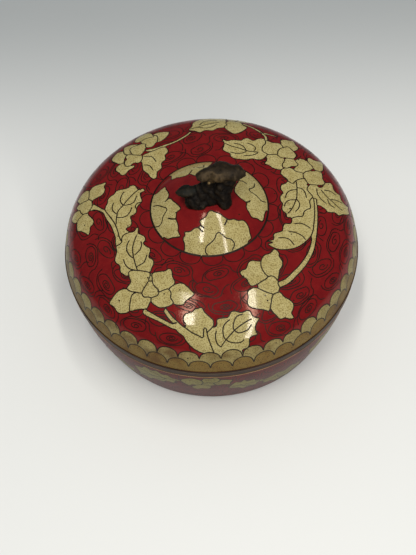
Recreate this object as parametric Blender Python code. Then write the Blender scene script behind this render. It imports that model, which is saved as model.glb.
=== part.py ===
"""Round lidded box of enamelled copper, with a cast bronze finial fixed on the lid.

Metres, +Z up. The origin is the centre of the underside, on the surface that the box stands on.
-Y is the front: the finial's broad cap leans to the right (+X) and its small cap points left (-X).
"""

import math

import bmesh
import bpy
import numpy as np
from mathutils import Euler, Matrix, Vector
from mathutils.geometry import interpolate_bezier

# Driving sizes of the lid
LID_RADIUS = 0.0598
LID_RIM_HEIGHT = 0.00135
DOME_RISE = 0.0215
BOSS_RADIUS = 0.0227
BOSS_RISE = 0.0084

# Shape of the dome: shares of its run and rise that each end keeps its direction for, and the lean of its edge
CROWN_FULLNESS = 0.868
SHOULDER_FULLNESS = 0.551
SHOULDER_ANGLE = math.radians(80.4)

# Driving sizes of the body
BODY_HEIGHT = 0.0369
BODY_RIM_HEIGHT = 0.0035
RIM_BEAD = 0.0007
BASE_RADIUS = 0.0539
BASE_TURN = 0.0016
FOOT_RADIUS = 0.0514
FOOT_WIDTH = 0.0022
FOOT_HEIGHT = 0.0016
INNER_FILLET = 0.0030

# Lean of the body's side at its top and at its base
SIDE_TOP_LEAN = math.radians(1.0)
SIDE_BASE_LEAN = math.radians(13.9)

# Copper with enamel on both faces, and how far the bare copper stands proud of the enamel
WALL = 0.0022
RIM_PROUD = 0.0003

# The upright lip inside the body's rim, which keeps the lid in place
LIP_RISE = 0.0024
LIP_THICKNESS = 0.0013
LIP_DROP = 0.0070
LIP_CLEARANCE = 0.0005

# The gap between pieces that rest on each other
SEAT_GAP = 0.0003

# Fineness of the turned shapes
TURN_STEPS = 60
DOME_STEPS = 10
INNER_DOME_STEPS = 7
BOSS_STEPS = 5
INNER_BOSS_STEPS = 3
SIDE_STEPS = 6
FILLET_STEPS = 3

# Driving sizes of the finial, measured on its cap; every other size of it is a share of the cap's width
FINIAL_WIDTH = 0.0184
FINIAL_STAND = 0.0146
CAP_STEPS = 36
STEM_STEPS = 28
KNOB_STEPS = 14
KNOB_WAVE = 0.08

LID_SEAT = BODY_HEIGHT + SEAT_GAP
DOME_FOOT = LID_SEAT + LID_RIM_HEIGHT
BOSS_FOOT = DOME_FOOT + DOME_RISE
BOSS_TOP = BOSS_FOOT + BOSS_RISE
BOSS_CURVE = (BOSS_RADIUS**2 + BOSS_RISE**2) / (2 * BOSS_RISE)


def clear_scene():
    """Remove every object that the file opened with."""
    for thing in list(bpy.data.objects):
        bpy.data.objects.remove(thing, do_unlink=True)


def finish(name, colour, roughness, metallic):
    """Return a Principled material."""
    material = bpy.data.materials.new(name)
    material.use_nodes = True
    shader = material.node_tree.nodes["Principled BSDF"]
    shader.inputs["Base Color"].default_value = (*colour, 1.0)
    shader.inputs["Roughness"].default_value = roughness
    shader.inputs["Metallic"].default_value = metallic
    return material


def add_object(name, shape, material=None):
    """Turn a bmesh into an object with outward faces and smooth shading, and free the bmesh."""
    bmesh.ops.recalc_face_normals(shape, faces=shape.faces)
    mesh = bpy.data.meshes.new(name)
    shape.to_mesh(mesh)
    shape.free()
    mesh.shade_smooth()
    mesh.set_sharp_from_angle(angle=math.radians(35))
    if material:
        mesh.materials.append(material)
    thing = bpy.data.objects.new(name, mesh)
    bpy.context.scene.collection.objects.link(thing)
    return thing


def bezier(start, start_handle, end_handle, end, steps):
    """Return the points of one Bezier curve in the (radius, height) plane, as an array."""
    ends = [Vector((*p, 0.0)) for p in (start, start_handle, end_handle, end)]
    return np.array([(p.x, p.y) for p in interpolate_bezier(*ends, steps)])


def arc(centre, radius, start, end, steps):
    """Return the points of an arc in the (radius, height) plane; the angles are in degrees from +radius."""
    turn = np.radians(np.linspace(start, end, steps + 1))
    return np.column_stack([centre[0] + radius * np.cos(turn), centre[1] + radius * np.sin(turn)])


def inner_face(outer, wall):
    """Return a profile moved by the wall's thickness to its right-hand side as it runs."""
    run = np.gradient(outer, axis=0)
    run /= np.linalg.norm(run, axis=1)[:, None]
    return outer + wall * np.column_stack([run[:, 1], -run[:, 0]])


def turned(name, profile, material):
    """Turn a closed profile of (radius, height) points about the Z axis."""
    shape = bmesh.new()
    corners = [shape.verts.new((radius, 0.0, height)) for radius, height in profile]
    edges = [shape.edges.new(pair) for pair in zip(corners, corners[1:])]
    if profile[0][0] > 0:
        edges.append(shape.edges.new((corners[-1], corners[0])))
    bmesh.ops.spin(
        shape,
        geom=corners + edges,
        cent=(0, 0, 0),
        axis=(0, 0, 1),
        angle=math.tau,
        steps=TURN_STEPS,
        use_merge=True,
    )
    bmesh.ops.remove_doubles(shape, verts=shape.verts, dist=1e-6)
    return add_object(name, shape, material)


def dome_curve(steps):
    """Return the lid's outer profile from the foot of the boss out to the copper rim."""
    edge = (LID_RADIUS - RIM_PROUD, DOME_FOOT)
    crown = (BOSS_RADIUS, BOSS_FOOT)
    crown_handle = (BOSS_RADIUS + CROWN_FULLNESS * (edge[0] - BOSS_RADIUS), BOSS_FOOT)
    reach = SHOULDER_FULLNESS * DOME_RISE
    edge_handle = (
        edge[0] - reach * math.cos(SHOULDER_ANGLE),
        edge[1] + reach * math.sin(SHOULDER_ANGLE),
    )
    return bezier(crown, crown_handle, edge_handle, edge, steps)


def boss_curve(steps, offset=0.0):
    """Return the boss's profile from the axis down to its foot, moved outward by the offset."""
    half_turn = math.degrees(math.asin(BOSS_RADIUS / BOSS_CURVE))
    curve = arc((0, BOSS_TOP - BOSS_CURVE), BOSS_CURVE + offset, 90, 90 - half_turn, steps)
    curve[0][0] = 0
    return curve


def build_lid(material):
    """Build the hollow lid: boss, dome, shoulder and copper rim, all of one wall."""
    boss, dome = boss_curve(BOSS_STEPS), dome_curve(DOME_STEPS)
    boss_inside = boss_curve(INNER_BOSS_STEPS, -WALL)
    dome_inside = inner_face(dome_curve(INNER_DOME_STEPS), WALL)
    inside_radius = LID_RADIUS - RIM_PROUD - WALL
    rim = [
        (LID_RADIUS, DOME_FOOT),
        (LID_RADIUS, LID_SEAT),
        (inside_radius, LID_SEAT),
    ]
    wall_inside = [p for p in dome_inside[::-1] if p[0] < inside_radius]
    outside = [*boss, *dome[1:], *rim]
    return turned("lid", [tuple(p) for p in [*outside, *wall_inside, *boss_inside[::-1]]], material)


def side_curve():
    """Return the body's outer side from the lower edge of its copper rim down to its base."""
    top = (LID_RADIUS - 2 * RIM_PROUD, BODY_HEIGHT - BODY_RIM_HEIGHT)
    low = (BASE_RADIUS, FOOT_HEIGHT + BASE_TURN)
    reach = (top[1] - low[1]) / 3
    top_handle = (top[0] - reach * math.tan(SIDE_TOP_LEAN), top[1] - reach)
    low_handle = (low[0] + reach * math.tan(SIDE_BASE_LEAN), low[1] + reach)
    return bezier(top, top_handle, low_handle, low, SIDE_STEPS)


def build_body(material):
    """Build the hollow body: foot ring, base, side, copper rim and the lip inside it."""
    side = side_curve()
    rim_radius = LID_RADIUS - RIM_PROUD
    rim_low = BODY_HEIGHT - BODY_RIM_HEIGHT
    rim = [
        (rim_radius, BODY_HEIGHT),
        (rim_radius, rim_low + RIM_BEAD),
        (LID_RADIUS - RIM_PROUD / 2, rim_low + RIM_BEAD / 2),
        (rim_radius, rim_low),
    ]
    turn = arc((BASE_RADIUS - BASE_TURN, FOOT_HEIGHT + BASE_TURN), BASE_TURN, 0, -90, FILLET_STEPS)
    foot = [
        (FOOT_RADIUS, FOOT_HEIGHT),
        (FOOT_RADIUS, 0),
        (FOOT_RADIUS - FOOT_WIDTH, 0),
        (FOOT_RADIUS - FOOT_WIDTH, FOOT_HEIGHT),
        (0, FOOT_HEIGHT),
    ]
    floor = FOOT_HEIGHT + WALL
    inside = inner_face(side, WALL)[::-1]
    fillet_top = floor + INNER_FILLET
    fillet_radius = float(np.interp(fillet_top, inside[:, 1], inside[:, 0]))
    fillet = arc((fillet_radius - INNER_FILLET, fillet_top), INNER_FILLET, -90, 0, FILLET_STEPS)
    lip_outer = LID_RADIUS - RIM_PROUD - WALL - LIP_CLEARANCE
    lip_inner = lip_outer - LIP_THICKNESS
    lip_low = BODY_HEIGHT - LIP_DROP
    lip_root = float(np.interp(lip_low, inside[:, 1], inside[:, 0]))
    wall_inside = [p for p in inside if fillet_top < p[1] < lip_low]
    lip = [
        (lip_root, lip_low),
        (lip_inner, lip_low),
        (lip_inner, BODY_HEIGHT + LIP_RISE),
        (lip_outer, BODY_HEIGHT + LIP_RISE),
        (lip_outer, BODY_HEIGHT),
    ]
    outside = [*rim, *side, *turn[1:], *foot]
    return turned("body", [tuple(p) for p in [(0, floor), *fillet, *wall_inside, *lip, *outside]], material)


def rings_to_body(rings, low_tip, high_tip):
    """Return a bmesh that skins closed rings of points, from the low tip to the high tip."""
    shape = bmesh.new()
    loops = [[shape.verts.new(p) for p in ring] for ring in rings]
    count = len(loops[0])
    for low, high in zip(loops, loops[1:]):
        for i in range(count):
            j = (i + 1) % count
            shape.faces.new((low[i], low[j], high[j], high[i]))
    for tip, loop in ((low_tip, loops[0]), (high_tip, loops[-1])):
        point = shape.verts.new(tip)
        for i in range(count):
            shape.faces.new((loop[i], loop[(i + 1) % count], point))
    return shape


def fungus_cap(name, centre, half_width, half_depth, crown, under, lobes, tilt, steps):
    """Build a lobed cap: a domed top, a rounded lip that waves up and down, and a hollowed underside.

    lobes is a list of (count, share, phase) waves in its outline, and tilt is an Euler turn.
    """
    # Share of the outline's radius, and share of the crown's height (or of the underside's drop where negative)
    stations = [(0.35, -0.55), (0.70, -0.75), (0.90, -1.0), (1.0, -0.45), (1.0, 0.12), (0.93, 0.42)]
    stations += [(0.78, 0.68), (0.55, 0.88), (0.28, 0.98)]
    turn = Euler(tilt).to_matrix().to_4x4()
    place = Matrix.Translation(centre) @ turn
    rings = []
    for share, level in stations:
        ring = []
        for step in range(steps):
            angle = math.tau * step / steps
            wave = sum(size * math.cos(count * angle + phase) for count, size, phase in lobes)
            reach = share * (1 + share * wave)
            height = level * (crown if level > 0 else under)
            droop = 0.9 * share**3 * wave * crown
            ring.append(
                place @ Vector((reach * half_width * math.cos(angle), reach * half_depth * math.sin(angle),
                                height - droop))
            )
        rings.append(ring)
    return add_object(name, rings_to_body(rings, place @ Vector((0, 0, -0.5 * under)), place @ Vector((0, 0, crown))))


def gnarled_stem(name, stations, gnarls, steps):
    """Build a knotty stem through stations of (x, y, z, half width, half depth), in metres.

    gnarls is a list of (count, share, phase, twist) waves in its outline.
    """
    rings = []
    low, high = stations[0][2], stations[-1][2]
    for x, y, z, half_width, half_depth in stations:
        up = (z - low) / (high - low)
        ring = []
        for step in range(steps):
            angle = math.tau * step / steps
            wave = sum(size * math.cos(count * angle + phase + twist * up) for count, size, phase, twist in gnarls)
            ring.append(
                Vector((x + half_width * (1 + wave) * math.cos(angle), y + half_depth * (1 + wave) * math.sin(angle), z))
            )
        rings.append(ring)
    return add_object(name, rings_to_body(rings, stations[0][:3], stations[-1][:3]))


def rounded_knob(name, centre, radii, phase):
    """Build an egg-shaped knob with shallow bosses; phase turns them, so that no two knobs look alike."""
    shape = bmesh.new()
    place = Matrix.Translation(centre) @ Matrix.Diagonal((*radii, 1.0))
    bmesh.ops.create_uvsphere(shape, u_segments=KNOB_STEPS, v_segments=KNOB_STEPS // 2, radius=1.0)
    for corner in shape.verts:
        angle = math.atan2(corner.co.y, corner.co.x)
        round_share = math.hypot(corner.co.x, corner.co.y)
        corner.co *= 1 + KNOB_WAVE * round_share * math.cos(3 * angle + 2 * corner.co.z + phase)
    shape.transform(place)
    return add_object(name, shape)


def fuse(host, others, operation):
    """Join the others to the host, or cut them from it, and keep them only as hidden guides."""
    for other in others:
        step = host.modifiers.new(f"{operation.lower()} {other.name}", "BOOLEAN")
        step.operation = operation
        step.solver = "EXACT"
        step.object = other
        other.hide_render = True
        other.display_type = "WIRE"
        other.parent = host


def build_finial(material):
    """Build the finial: a fungus-like sprig with a broad cap, a small cap, a knotty stem and rooted feet."""
    unit = FINIAL_WIDTH / 18.4
    rise = FINIAL_STAND / 14.6

    def at(x, y, z):
        """Return a place given in units of the finial's own size, above the boss."""
        return Vector((x * unit, y * unit, BOSS_TOP + z * rise))

    def station(x, y, z, half_width, half_depth):
        """Return one station of the stem in metres."""
        return (*at(x, y, z), half_width * unit, half_depth * unit)

    stem = gnarled_stem(
        "finial",
        [
            station(0.2, -0.8, -2.4, 8.0, 5.4),
            station(0.2, -0.8, 0.0, 7.8, 5.2),
            station(0.6, -0.8, 1.9, 7.4, 5.2),
            station(1.7, -0.6, 3.8, 6.7, 4.7),
            station(2.7, -0.2, 5.8, 6.2, 4.2),
            station(3.3, 0.0, 7.6, 6.3, 4.0),
            station(3.8, 0.3, 9.4, 6.6, 3.9),
            station(4.3, 0.6, 11.2, 6.0, 3.4),
        ],
        [(3, 0.06, 0.6, 1.2), (5, 0.05, 2.0, -1.6), (9, 0.03, 0.3, 2.4)],
        STEM_STEPS,
    )
    stem.data.materials.append(material)
    broad_cap = fungus_cap(
        "broad_cap_guide",
        at(4.8, 0.7, 11.0),
        8.8 * unit,
        4.6 * unit,
        2.7 * rise,
        1.5 * rise,
        [(2, 0.040, 0.0), (3, 0.020, 3.1), (5, 0.035, 0.4), (7, 0.035, -2.9)],
        (math.radians(6), math.radians(-2), 0),
        CAP_STEPS,
    )
    small_cap = fungus_cap(
        "small_cap_guide",
        at(-8.0, -1.7, 5.3),
        3.9 * unit,
        2.6 * unit,
        1.7 * rise,
        1.2 * rise,
        [(3, 0.09, 3.1)],
        (math.radians(10), math.radians(-8), math.radians(17)),
        CAP_STEPS // 2,
    )
    knobs = [
        rounded_knob("branch_guide", at(-4.6, -1.6, 3.7), (4.2 * unit, 2.6 * unit, 2.4 * rise), 0.4),
        rounded_knob("left_foot_guide", at(-4.9, -3.2, 1.1), (4.1 * unit, 4.2 * unit, 3.3 * rise), 1.7),
        rounded_knob("right_foot_guide", at(5.4, -3.9, 0.8), (3.3 * unit, 4.0 * unit, 3.5 * rise), 3.0),
        rounded_knob("back_foot_guide", at(1.0, 3.2, 0.4), (5.2 * unit, 3.4 * unit, 3.2 * rise), 4.1),
        rounded_knob("front_knot_guide", at(0.1, -3.4, 8.0), (2.2 * unit, 1.3 * unit, 1.5 * rise), 5.2),
        rounded_knob("right_knot_guide", at(7.2, -1.0, 6.2), (2.5 * unit, 2.6 * unit, 2.6 * rise), 0.9),
        rounded_knob("middle_knot_guide", at(3.4, -3.2, 4.6), (2.5 * unit, 2.0 * unit, 2.6 * rise), 2.2),
    ]
    fuse(stem, [broad_cap, small_cap, *knobs], "UNION")
    seat = boss_curve(BOSS_STEPS, SEAT_GAP)
    seat_guide = turned("seat_guide", [*map(tuple, seat), (0, BOSS_FOOT - BOSS_RISE)], None)
    fuse(stem, [seat_guide], "DIFFERENCE")


clear_scene()
build_body(finish("red enamel body", (0.16, 0.012, 0.015), 0.12, 0.0))
build_lid(finish("red enamel lid", (0.18, 0.010, 0.014), 0.10, 0.0))
build_finial(finish("dark cast bronze", (0.035, 0.026, 0.020), 0.45, 1.0))
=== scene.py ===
"""Round lidded box of cloisonne enamel on copper, with a cast bronze finial: fine meshes and finishes.

Sizes and places are in millimetres unless a name says otherwise, and become metres where a mesh is made.
The pattern is drawn flat, on a sheet that unrolls each turned surface: a point's distance from the sheet's
centre is the distance run along the surface, and its direction is the direction round the axis.
On the lid's sheet x runs to the right and y to the back.
"""

import logging
import math
from dataclasses import dataclass
from enum import Enum
from typing import Any, Callable, Optional, Sequence

import bpy
import numpy as np
from mathutils import Matrix, Vector, kdtree, noise
from mathutils.geometry import delaunay_2d_cdt


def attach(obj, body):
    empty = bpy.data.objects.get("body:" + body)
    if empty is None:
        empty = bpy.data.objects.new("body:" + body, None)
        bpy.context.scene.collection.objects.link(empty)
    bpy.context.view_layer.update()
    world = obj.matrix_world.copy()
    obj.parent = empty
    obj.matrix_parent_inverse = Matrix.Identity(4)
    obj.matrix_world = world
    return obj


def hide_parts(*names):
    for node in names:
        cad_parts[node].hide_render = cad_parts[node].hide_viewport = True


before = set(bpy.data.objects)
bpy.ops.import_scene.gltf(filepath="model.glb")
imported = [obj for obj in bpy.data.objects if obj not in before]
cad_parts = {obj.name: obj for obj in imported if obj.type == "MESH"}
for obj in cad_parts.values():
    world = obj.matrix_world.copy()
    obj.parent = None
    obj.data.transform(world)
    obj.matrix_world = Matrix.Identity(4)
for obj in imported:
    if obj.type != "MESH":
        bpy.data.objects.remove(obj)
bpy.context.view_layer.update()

log = logging.getLogger("enamel box")

MM = 0.001
Place = tuple[float, float]
Span = tuple[float, float]
Spot = tuple[float, float, float]
Station = tuple[float, float, float, float]
Points = np.ndarray
Tree = bpy.types.NodeTree
Socket = bpy.types.NodeSocket
Material = bpy.types.Material
Object = bpy.types.Object

# Spacing of the points that a wire is traced by, and of the points that its mesh keeps
TRACE_STEP = 0.15
BEND_STEP = 0.50

# Points of a smooth curve from one of the places that it is bent through to the next
BEND_PARTS = 14

# Widths of the bent wires: round the flowers and leaves, the ticks on them, round the scallops, in the red
# ground, and round the boss
FLOWER_WIRE = 0.46
TICK_WIRE = 1.3 * FLOWER_WIRE
SCALLOP_WIRE = 0.46
CLOUD_WIRE = 0.36
RING_WIRE = 0.80

# A triangle is wire where its middle is nearer to the wire's line than this share of the wire's width
WIRE_SHARE = 0.51

# Outlines closer than JOIN_REACH are drawn together, and within JOIN_REACH - JOIN_EASE they share one wire
JOIN_REACH = 0.9
JOIN_EASE = 0.4

# How far inside the enamel's edge the wires end, and the fewest points of a stretch of wire that is kept
EDGE_MARGIN = 0.3
SHORTEST_RUN = 5

# The points that hold the surface's curve between the wires: the spacing of their rings, how many times that
# they are apart along a ring, and how far they keep from the wires and from the sheet's outer edge
HOLD_STEP = 1.25
HOLD_STRETCH = 1.2
HOLD_MARGIN = 0.45
HOLD_EDGE = 0.4

# Points along each scallop, and how far its tip strays from the row's line
SCALLOP_PARTS = 17
SCALLOP_STRAY = 0.35

# Facets round the axis of the turned meshes
TURN_STEPS = 240

# How deep inside the casting a corner of the grid is put where the mesh round it would touch itself
JUST_INSIDE = 0.02

# How many points are tested against an outline at a time
BATCH = 1500


class Fill(Enum):
    """What a patch of the surface is made of; the value is its material's place on the mesh."""

    RED = 0
    CREAM = 1
    # The lid shoulder's lower and upper rows of scallops: a duller cream, made darker than the lid's cream as
    # painted shade
    SHADE_PAINTED_CREAM = 2
    SHADE_PAINTED_OLIVE = 3
    WIRE = 4
    COPPER = 5
    COUNTER = 6


def circle(radius: float, count: int, start: float = 0.0) -> Points:
    """Return evenly spaced points round the centre; `start` turns them on by that many spacings."""
    turn = math.tau * (np.arange(count) + start) / count
    return radius * np.column_stack([np.cos(turn), np.sin(turn)])


def lookup(points: Points) -> kdtree.KDTree:
    """Return a tree that finds the nearest of some points in space."""
    tree = kdtree.KDTree(len(points))
    for index, point in enumerate(points):
        tree.insert(point, index)
    tree.balance()
    return tree


def seed_of(place: Place) -> int:
    """Return a seed that belongs to a place, so that each motif is bent in its own way."""
    return int(abs(place[0]) * 1000 + abs(place[1]) * 10)


def resample(line: Points, step: float, closed: bool) -> Points:
    """Space the points of a line evenly.

    Args:
        line: The points, in order.
        step: The spacing wanted.
        closed: Whether the line returns to its first point.

    Returns:
        The evenly spaced points; a closed line doesn't repeat its first one.
    """
    if closed:
        line = np.vstack([line, line[:1]])
    run = np.concatenate([[0.0], np.cumsum(np.hypot(*np.diff(line, axis=0).T))])
    count = max(3, round(run[-1] / step))
    stops = np.linspace(0.0, run[-1], count + 1)[: -1 if closed else None]
    return np.column_stack([np.interp(stops, run, line[:, 0]), np.interp(stops, run, line[:, 1])])


def bent(points: Sequence[Place], closed: bool = False) -> Points:
    """Bend a wire smoothly through points; a point given twice makes a corner.

    Args:
        points: The points it passes through.
        closed: Whether the wire closes on itself.

    Returns:
        The traced line.
    """
    pins = np.asarray(points, float)
    if closed:
        pins = np.vstack([pins[-1:], pins, pins[:2]])
    else:
        pins = np.vstack([2 * pins[0] - pins[1], pins, 2 * pins[-1] - pins[-2]])
    before, start, end, after = pins[:-3], pins[1:-2], pins[2:-1], pins[3:]
    share = np.linspace(0, 1, BEND_PARTS, endpoint=False)[:, None, None]
    curve = 0.5 * (
        2 * start
        + (end - before) * share
        + (2 * before - 5 * start + 4 * end - after) * share**2
        + (3 * start - before - 3 * end + after) * share**3
    )
    line = curve.transpose(1, 0, 2).reshape(-1, 2)
    if not closed:
        line = np.vstack([line, pins[-2:-1]])
    return resample(line, TRACE_STEP, closed)


def batches(points: Points, low: Points, high: Points) -> list[Points]:
    """Return the indices of the points inside a box, in batches of a size that can be tested at once."""
    near = np.flatnonzero(np.all((points >= low) & (points <= high), axis=1))
    return np.array_split(near, len(near) // BATCH + 1) if len(near) else []


def inside(points: Points, outline: Points) -> Points:
    """Tell which points lie inside a closed outline.

    Args:
        points: The points to test.
        outline: The outline's corners, in order.

    Returns:
        One truth value for each point.
    """
    result = np.zeros(len(points), bool)
    start, end = outline, np.roll(outline, -1, axis=0)
    rise = end[:, 1] - start[:, 1]
    slope = (end[:, 0] - start[:, 0]) / np.where(rise == 0, 1e-12, rise)
    for part in batches(points, outline.min(0), outline.max(0)):
        x, y = points[part, :1], points[part, 1:]
        crosses = (start[:, 1] > y) != (end[:, 1] > y)
        where = slope * (y - start[:, 1]) + start[:, 0]
        result[part] = np.sum(crosses & (x < where), axis=1) % 2 == 1
    return result


def beside(points: Points, line: Points, reach: float) -> Points:
    """Tell which points lie within a distance of a traced line.

    Args:
        points: The points to test.
        line: The line's own points, closely spaced.
        reach: The distance.

    Returns:
        One truth value for each point.
    """
    result = np.zeros(len(points), bool)
    for part in batches(points, line.min(0) - reach, line.max(0) + reach):
        offset = points[part, None] - line[None]
        result[part] = np.hypot(offset[..., 0], offset[..., 1]).min(axis=1) < reach
    return result


@dataclass
class Cell:
    """One cell of enamel: its closed outline on the sheet, its fill, and the window that it shows in."""

    outline: Points
    fill: Fill
    window: Optional[Points] = None


@dataclass
class Wire:
    """A bent wire on the sheet. Cells drawn after it, from `level` on, hide it where they cover it."""

    line: Points
    width: float
    closed: bool
    level: int
    window: Optional[Points] = None


class Profile:
    """The outline of a turned surface, in (radius, height), with the distance run along it."""

    def __init__(self, points: Points) -> None:
        """Take densely spaced points, in order."""
        self.points = np.asarray(points, float)
        steps = np.hypot(*np.diff(self.points, axis=0).T)
        self.run = np.concatenate([[0.0], np.cumsum(steps)])
        ahead = np.gradient(self.points, self.run, axis=0)
        self.ahead = ahead / np.linalg.norm(ahead, axis=1)[:, None]

    @property
    def length(self) -> float:
        """Return the whole distance run."""
        return float(self.run[-1])

    def at(self, run: Points) -> Points:
        """Return the (radius, height) at each distance run."""
        return np.column_stack([np.interp(run, self.run, self.points[:, k]) for k in (0, 1)])

    def direction(self, run: Points) -> Points:
        """Return the profile's direction at each distance run."""
        return np.column_stack([np.interp(run, self.run, self.ahead[:, k]) for k in (0, 1)])


class Sheet:
    """The flat drawing of one turned surface, cut into triangles and bent over that surface.

    Cells and wires are added from the bottom layer up.
    """

    def __init__(self, profile: Profile, ground: Fill, hole: float = 0.0) -> None:
        """Start an empty sheet.

        Args:
            profile: The turned surface's outline, from the sheet's inner edge outward.
            ground: What fills the sheet where nothing is drawn.
            hole: The sheet's radius at the profile's first point, zero where that lies on the axis.
        """
        self.profile = profile
        self.ground = ground
        self.hole = hole
        self.turn = 1.0 if hole == 0 else -1.0
        self.window: Optional[Points] = None
        self.cells: list[Cell] = []
        self.wires: list[Wire] = []

    @property
    def radius(self) -> float:
        """Return the sheet's outer radius."""
        return self.hole + self.profile.length

    def cell(self, outline: Points, fill: Fill, width: float) -> None:
        """Lay a cell of enamel, with a wire round it, over what is drawn so far."""
        self.cells.append(Cell(outline, fill, self.window))
        self.wire(outline, width, True)

    def wire(self, line: Points, width: float = FLOWER_WIRE, closed: bool = False) -> None:
        """Lay a bare wire over what is drawn so far."""
        self.wires.append(Wire(line, width, closed, len(self.cells), self.window))

    def motif(self, outline: Points) -> None:
        """Lay a cream cell of a flower or leaf, which shares a wire with the neighbours that it touches."""
        self.cell(self.settled(outline), Fill.CREAM, FLOWER_WIRE)

    def settled(self, outline: Points) -> Points:
        """Move an outline onto those of the earlier cream cells that it nearly touches.

        Args:
            outline: The outline, as drawn.

        Returns:
            The outline, moved and evenly spaced.
        """
        earlier = [cell.outline for cell in self.cells if cell.fill is Fill.CREAM]
        if not earlier:
            return outline
        others = np.vstack(earlier)
        low, high = outline.min(0) - JOIN_REACH, outline.max(0) + JOIN_REACH
        others = others[np.all((others > low) & (others < high), axis=1)]
        if not len(others):
            return outline
        offset = others[None] - outline[:, None]
        gap = np.hypot(offset[..., 0], offset[..., 1])
        nearest = gap.argmin(axis=1)
        row = np.arange(len(outline))
        pull = np.clip((JOIN_REACH - gap[row, nearest]) / JOIN_EASE, 0, 1)
        return resample(outline + pull[:, None] * offset[row, nearest], TRACE_STEP, True)

    def bend(self, places: Points) -> tuple[Points, Points]:
        """Bend flat places over the turned surface.

        Args:
            places: Places on the sheet.

        Returns:
            The points in space, in millimetres, and the surface's outward normals there.
        """
        distance = np.hypot(*places.T)
        out = places / np.maximum(distance, 1e-9)[:, None]
        run = np.clip(distance - self.hole, 0, self.profile.length)
        spot, ahead = self.profile.at(run), self.profile.direction(run)
        points = np.column_stack([spot[:, :1] * out, spot[:, 1]])
        normals = np.column_stack([-self.turn * ahead[:, 1:] * out, self.turn * ahead[:, 0]])
        return points, normals

    def sides(self, line: Points, closed: bool, half: float) -> tuple[Points, Points]:
        """Return the two edges of a wire, at a true distance from its middle line on the bent surface."""
        if closed:
            ahead = np.roll(line, -1, axis=0) - np.roll(line, 1, axis=0)
        else:
            ahead = np.gradient(line, axis=0)
        distance = np.hypot(*line.T)
        out = line / distance[:, None]
        across = np.column_stack([-out[:, 1], out[:, 0]])
        squeeze = self.profile.at(distance - self.hole)[:, 0] / distance
        along = np.sum(ahead * out, axis=1)
        around = np.sum(ahead * across, axis=1) * squeeze
        size = np.maximum(np.hypot(along, around), 1e-9)
        shift = (-around / size)[:, None] * out + (along / size / squeeze)[:, None] * across
        return line + half * shift, line - half * shift

    def visible_runs(self, wire: Wire) -> list[tuple[Points, bool]]:
        """Cut a wire where later cells or the edge of the enamel hide it.

        Args:
            wire: The wire.

        Returns:
            Each stretch that shows, and whether it is still closed.
        """
        distance = np.hypot(*wire.line.T)
        hidden = (distance > self.radius - EDGE_MARGIN) | (distance < self.hole)
        if wire.window is not None:
            hidden |= ~inside(wire.line, wire.window)
        for cell in self.cells[wire.level :]:
            over = inside(wire.line, cell.outline)
            if cell.fill is Fill.CREAM:
                over |= beside(wire.line, cell.outline, FLOWER_WIRE / 2)
            if cell.window is not None and over.any():
                over &= inside(wire.line, cell.window)
            hidden |= over
        if not hidden.any():
            return [(wire.line, wire.closed)]
        if hidden.all():
            return []
        line = wire.line
        if wire.closed:
            start = int(np.argmax(hidden))
            line, hidden = np.roll(line, -start, axis=0), np.roll(hidden, -start)
        edges = np.flatnonzero(np.diff(np.concatenate([[True], hidden, [True]]).astype(int)))
        runs = [line[a:b] for a, b in zip(edges[::2], edges[1::2])]
        return [(run, False) for run in runs if len(run) >= SHORTEST_RUN]

    def cut(self) -> tuple[Points, Points, Points, Points]:
        """Cut the sheet into triangles along its wires.

        Returns:
            The flat corners, the triangles, each triangle's fill, and the corners on the sheet's own edges:
            the outer edge's first, and then the inner edge's where there is a hole.
        """
        corners: list[Points] = []
        edges: list[tuple[int, int]] = []
        count = 0

        def trace(line: Points) -> None:
            """Add a closed line's corners and the edges between them."""
            nonlocal count
            corners.append(line)
            edges.extend((count + k, count + (k + 1) % len(line)) for k in range(len(line)))
            count += len(line)

        rims = [radius for radius in (self.radius, self.hole) if radius]
        for radius in rims:
            trace(circle(radius, TURN_STEPS))
        traced: list[Points] = []
        widths: list[Points] = []
        for wire in self.wires:
            for line, closed in self.visible_runs(wire):
                traced.append(line)
                widths.append(np.full(len(line), wire.width))
                left, right = self.sides(resample(line, BEND_STEP, closed), closed, wire.width / 2)
                borders = [left, right] if closed else [np.vstack([left, right[::-1]])]
                for border in borders:
                    trace(border)
        corners.append(self.scaffold(np.vstack(traced)))
        flat = np.vstack(corners)
        spots, _, faces, sources, *_ = delaunay_2d_cdt([Vector(p) for p in flat], edges, [], 0, 1e-5)
        places = np.array([tuple(p) for p in spots])
        triangles = np.array([tuple(f) for f in faces if len(f) == 3])
        centres = places[triangles].mean(axis=1)
        if self.hole:
            kept = np.hypot(*centres.T) > self.hole * math.cos(math.pi / TURN_STEPS)
            triangles, centres = triangles[kept], centres[kept]
        first = np.full(len(flat), -1)
        for index, source in enumerate(sources):
            first[source] = index
        fills = self.fills(centres, np.vstack(traced), np.concatenate(widths))
        return places, triangles, fills, first[: TURN_STEPS * len(rims)]

    def scaffold(self, traced: Points) -> Points:
        """Return points between the wires, close enough to hold the surface's curve.

        Args:
            traced: The points of all the wires, which the scaffold keeps clear of.
        """
        tree = lookup(np.column_stack([traced, np.zeros(len(traced))]))
        rings = []
        radii = np.arange(self.hole + HOLD_STEP, self.radius - HOLD_EDGE, HOLD_STEP)
        for number, radius in enumerate(radii):
            count = max(6, round(math.tau * radius / HOLD_STEP / HOLD_STRETCH))
            rings.append(circle(radius, count, 0.5 * (number % 2)))
        points = np.vstack(rings)
        kept = [tree.find((x, y, 0))[2] > HOLD_MARGIN for x, y in points]
        return points[np.array(kept)]

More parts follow.
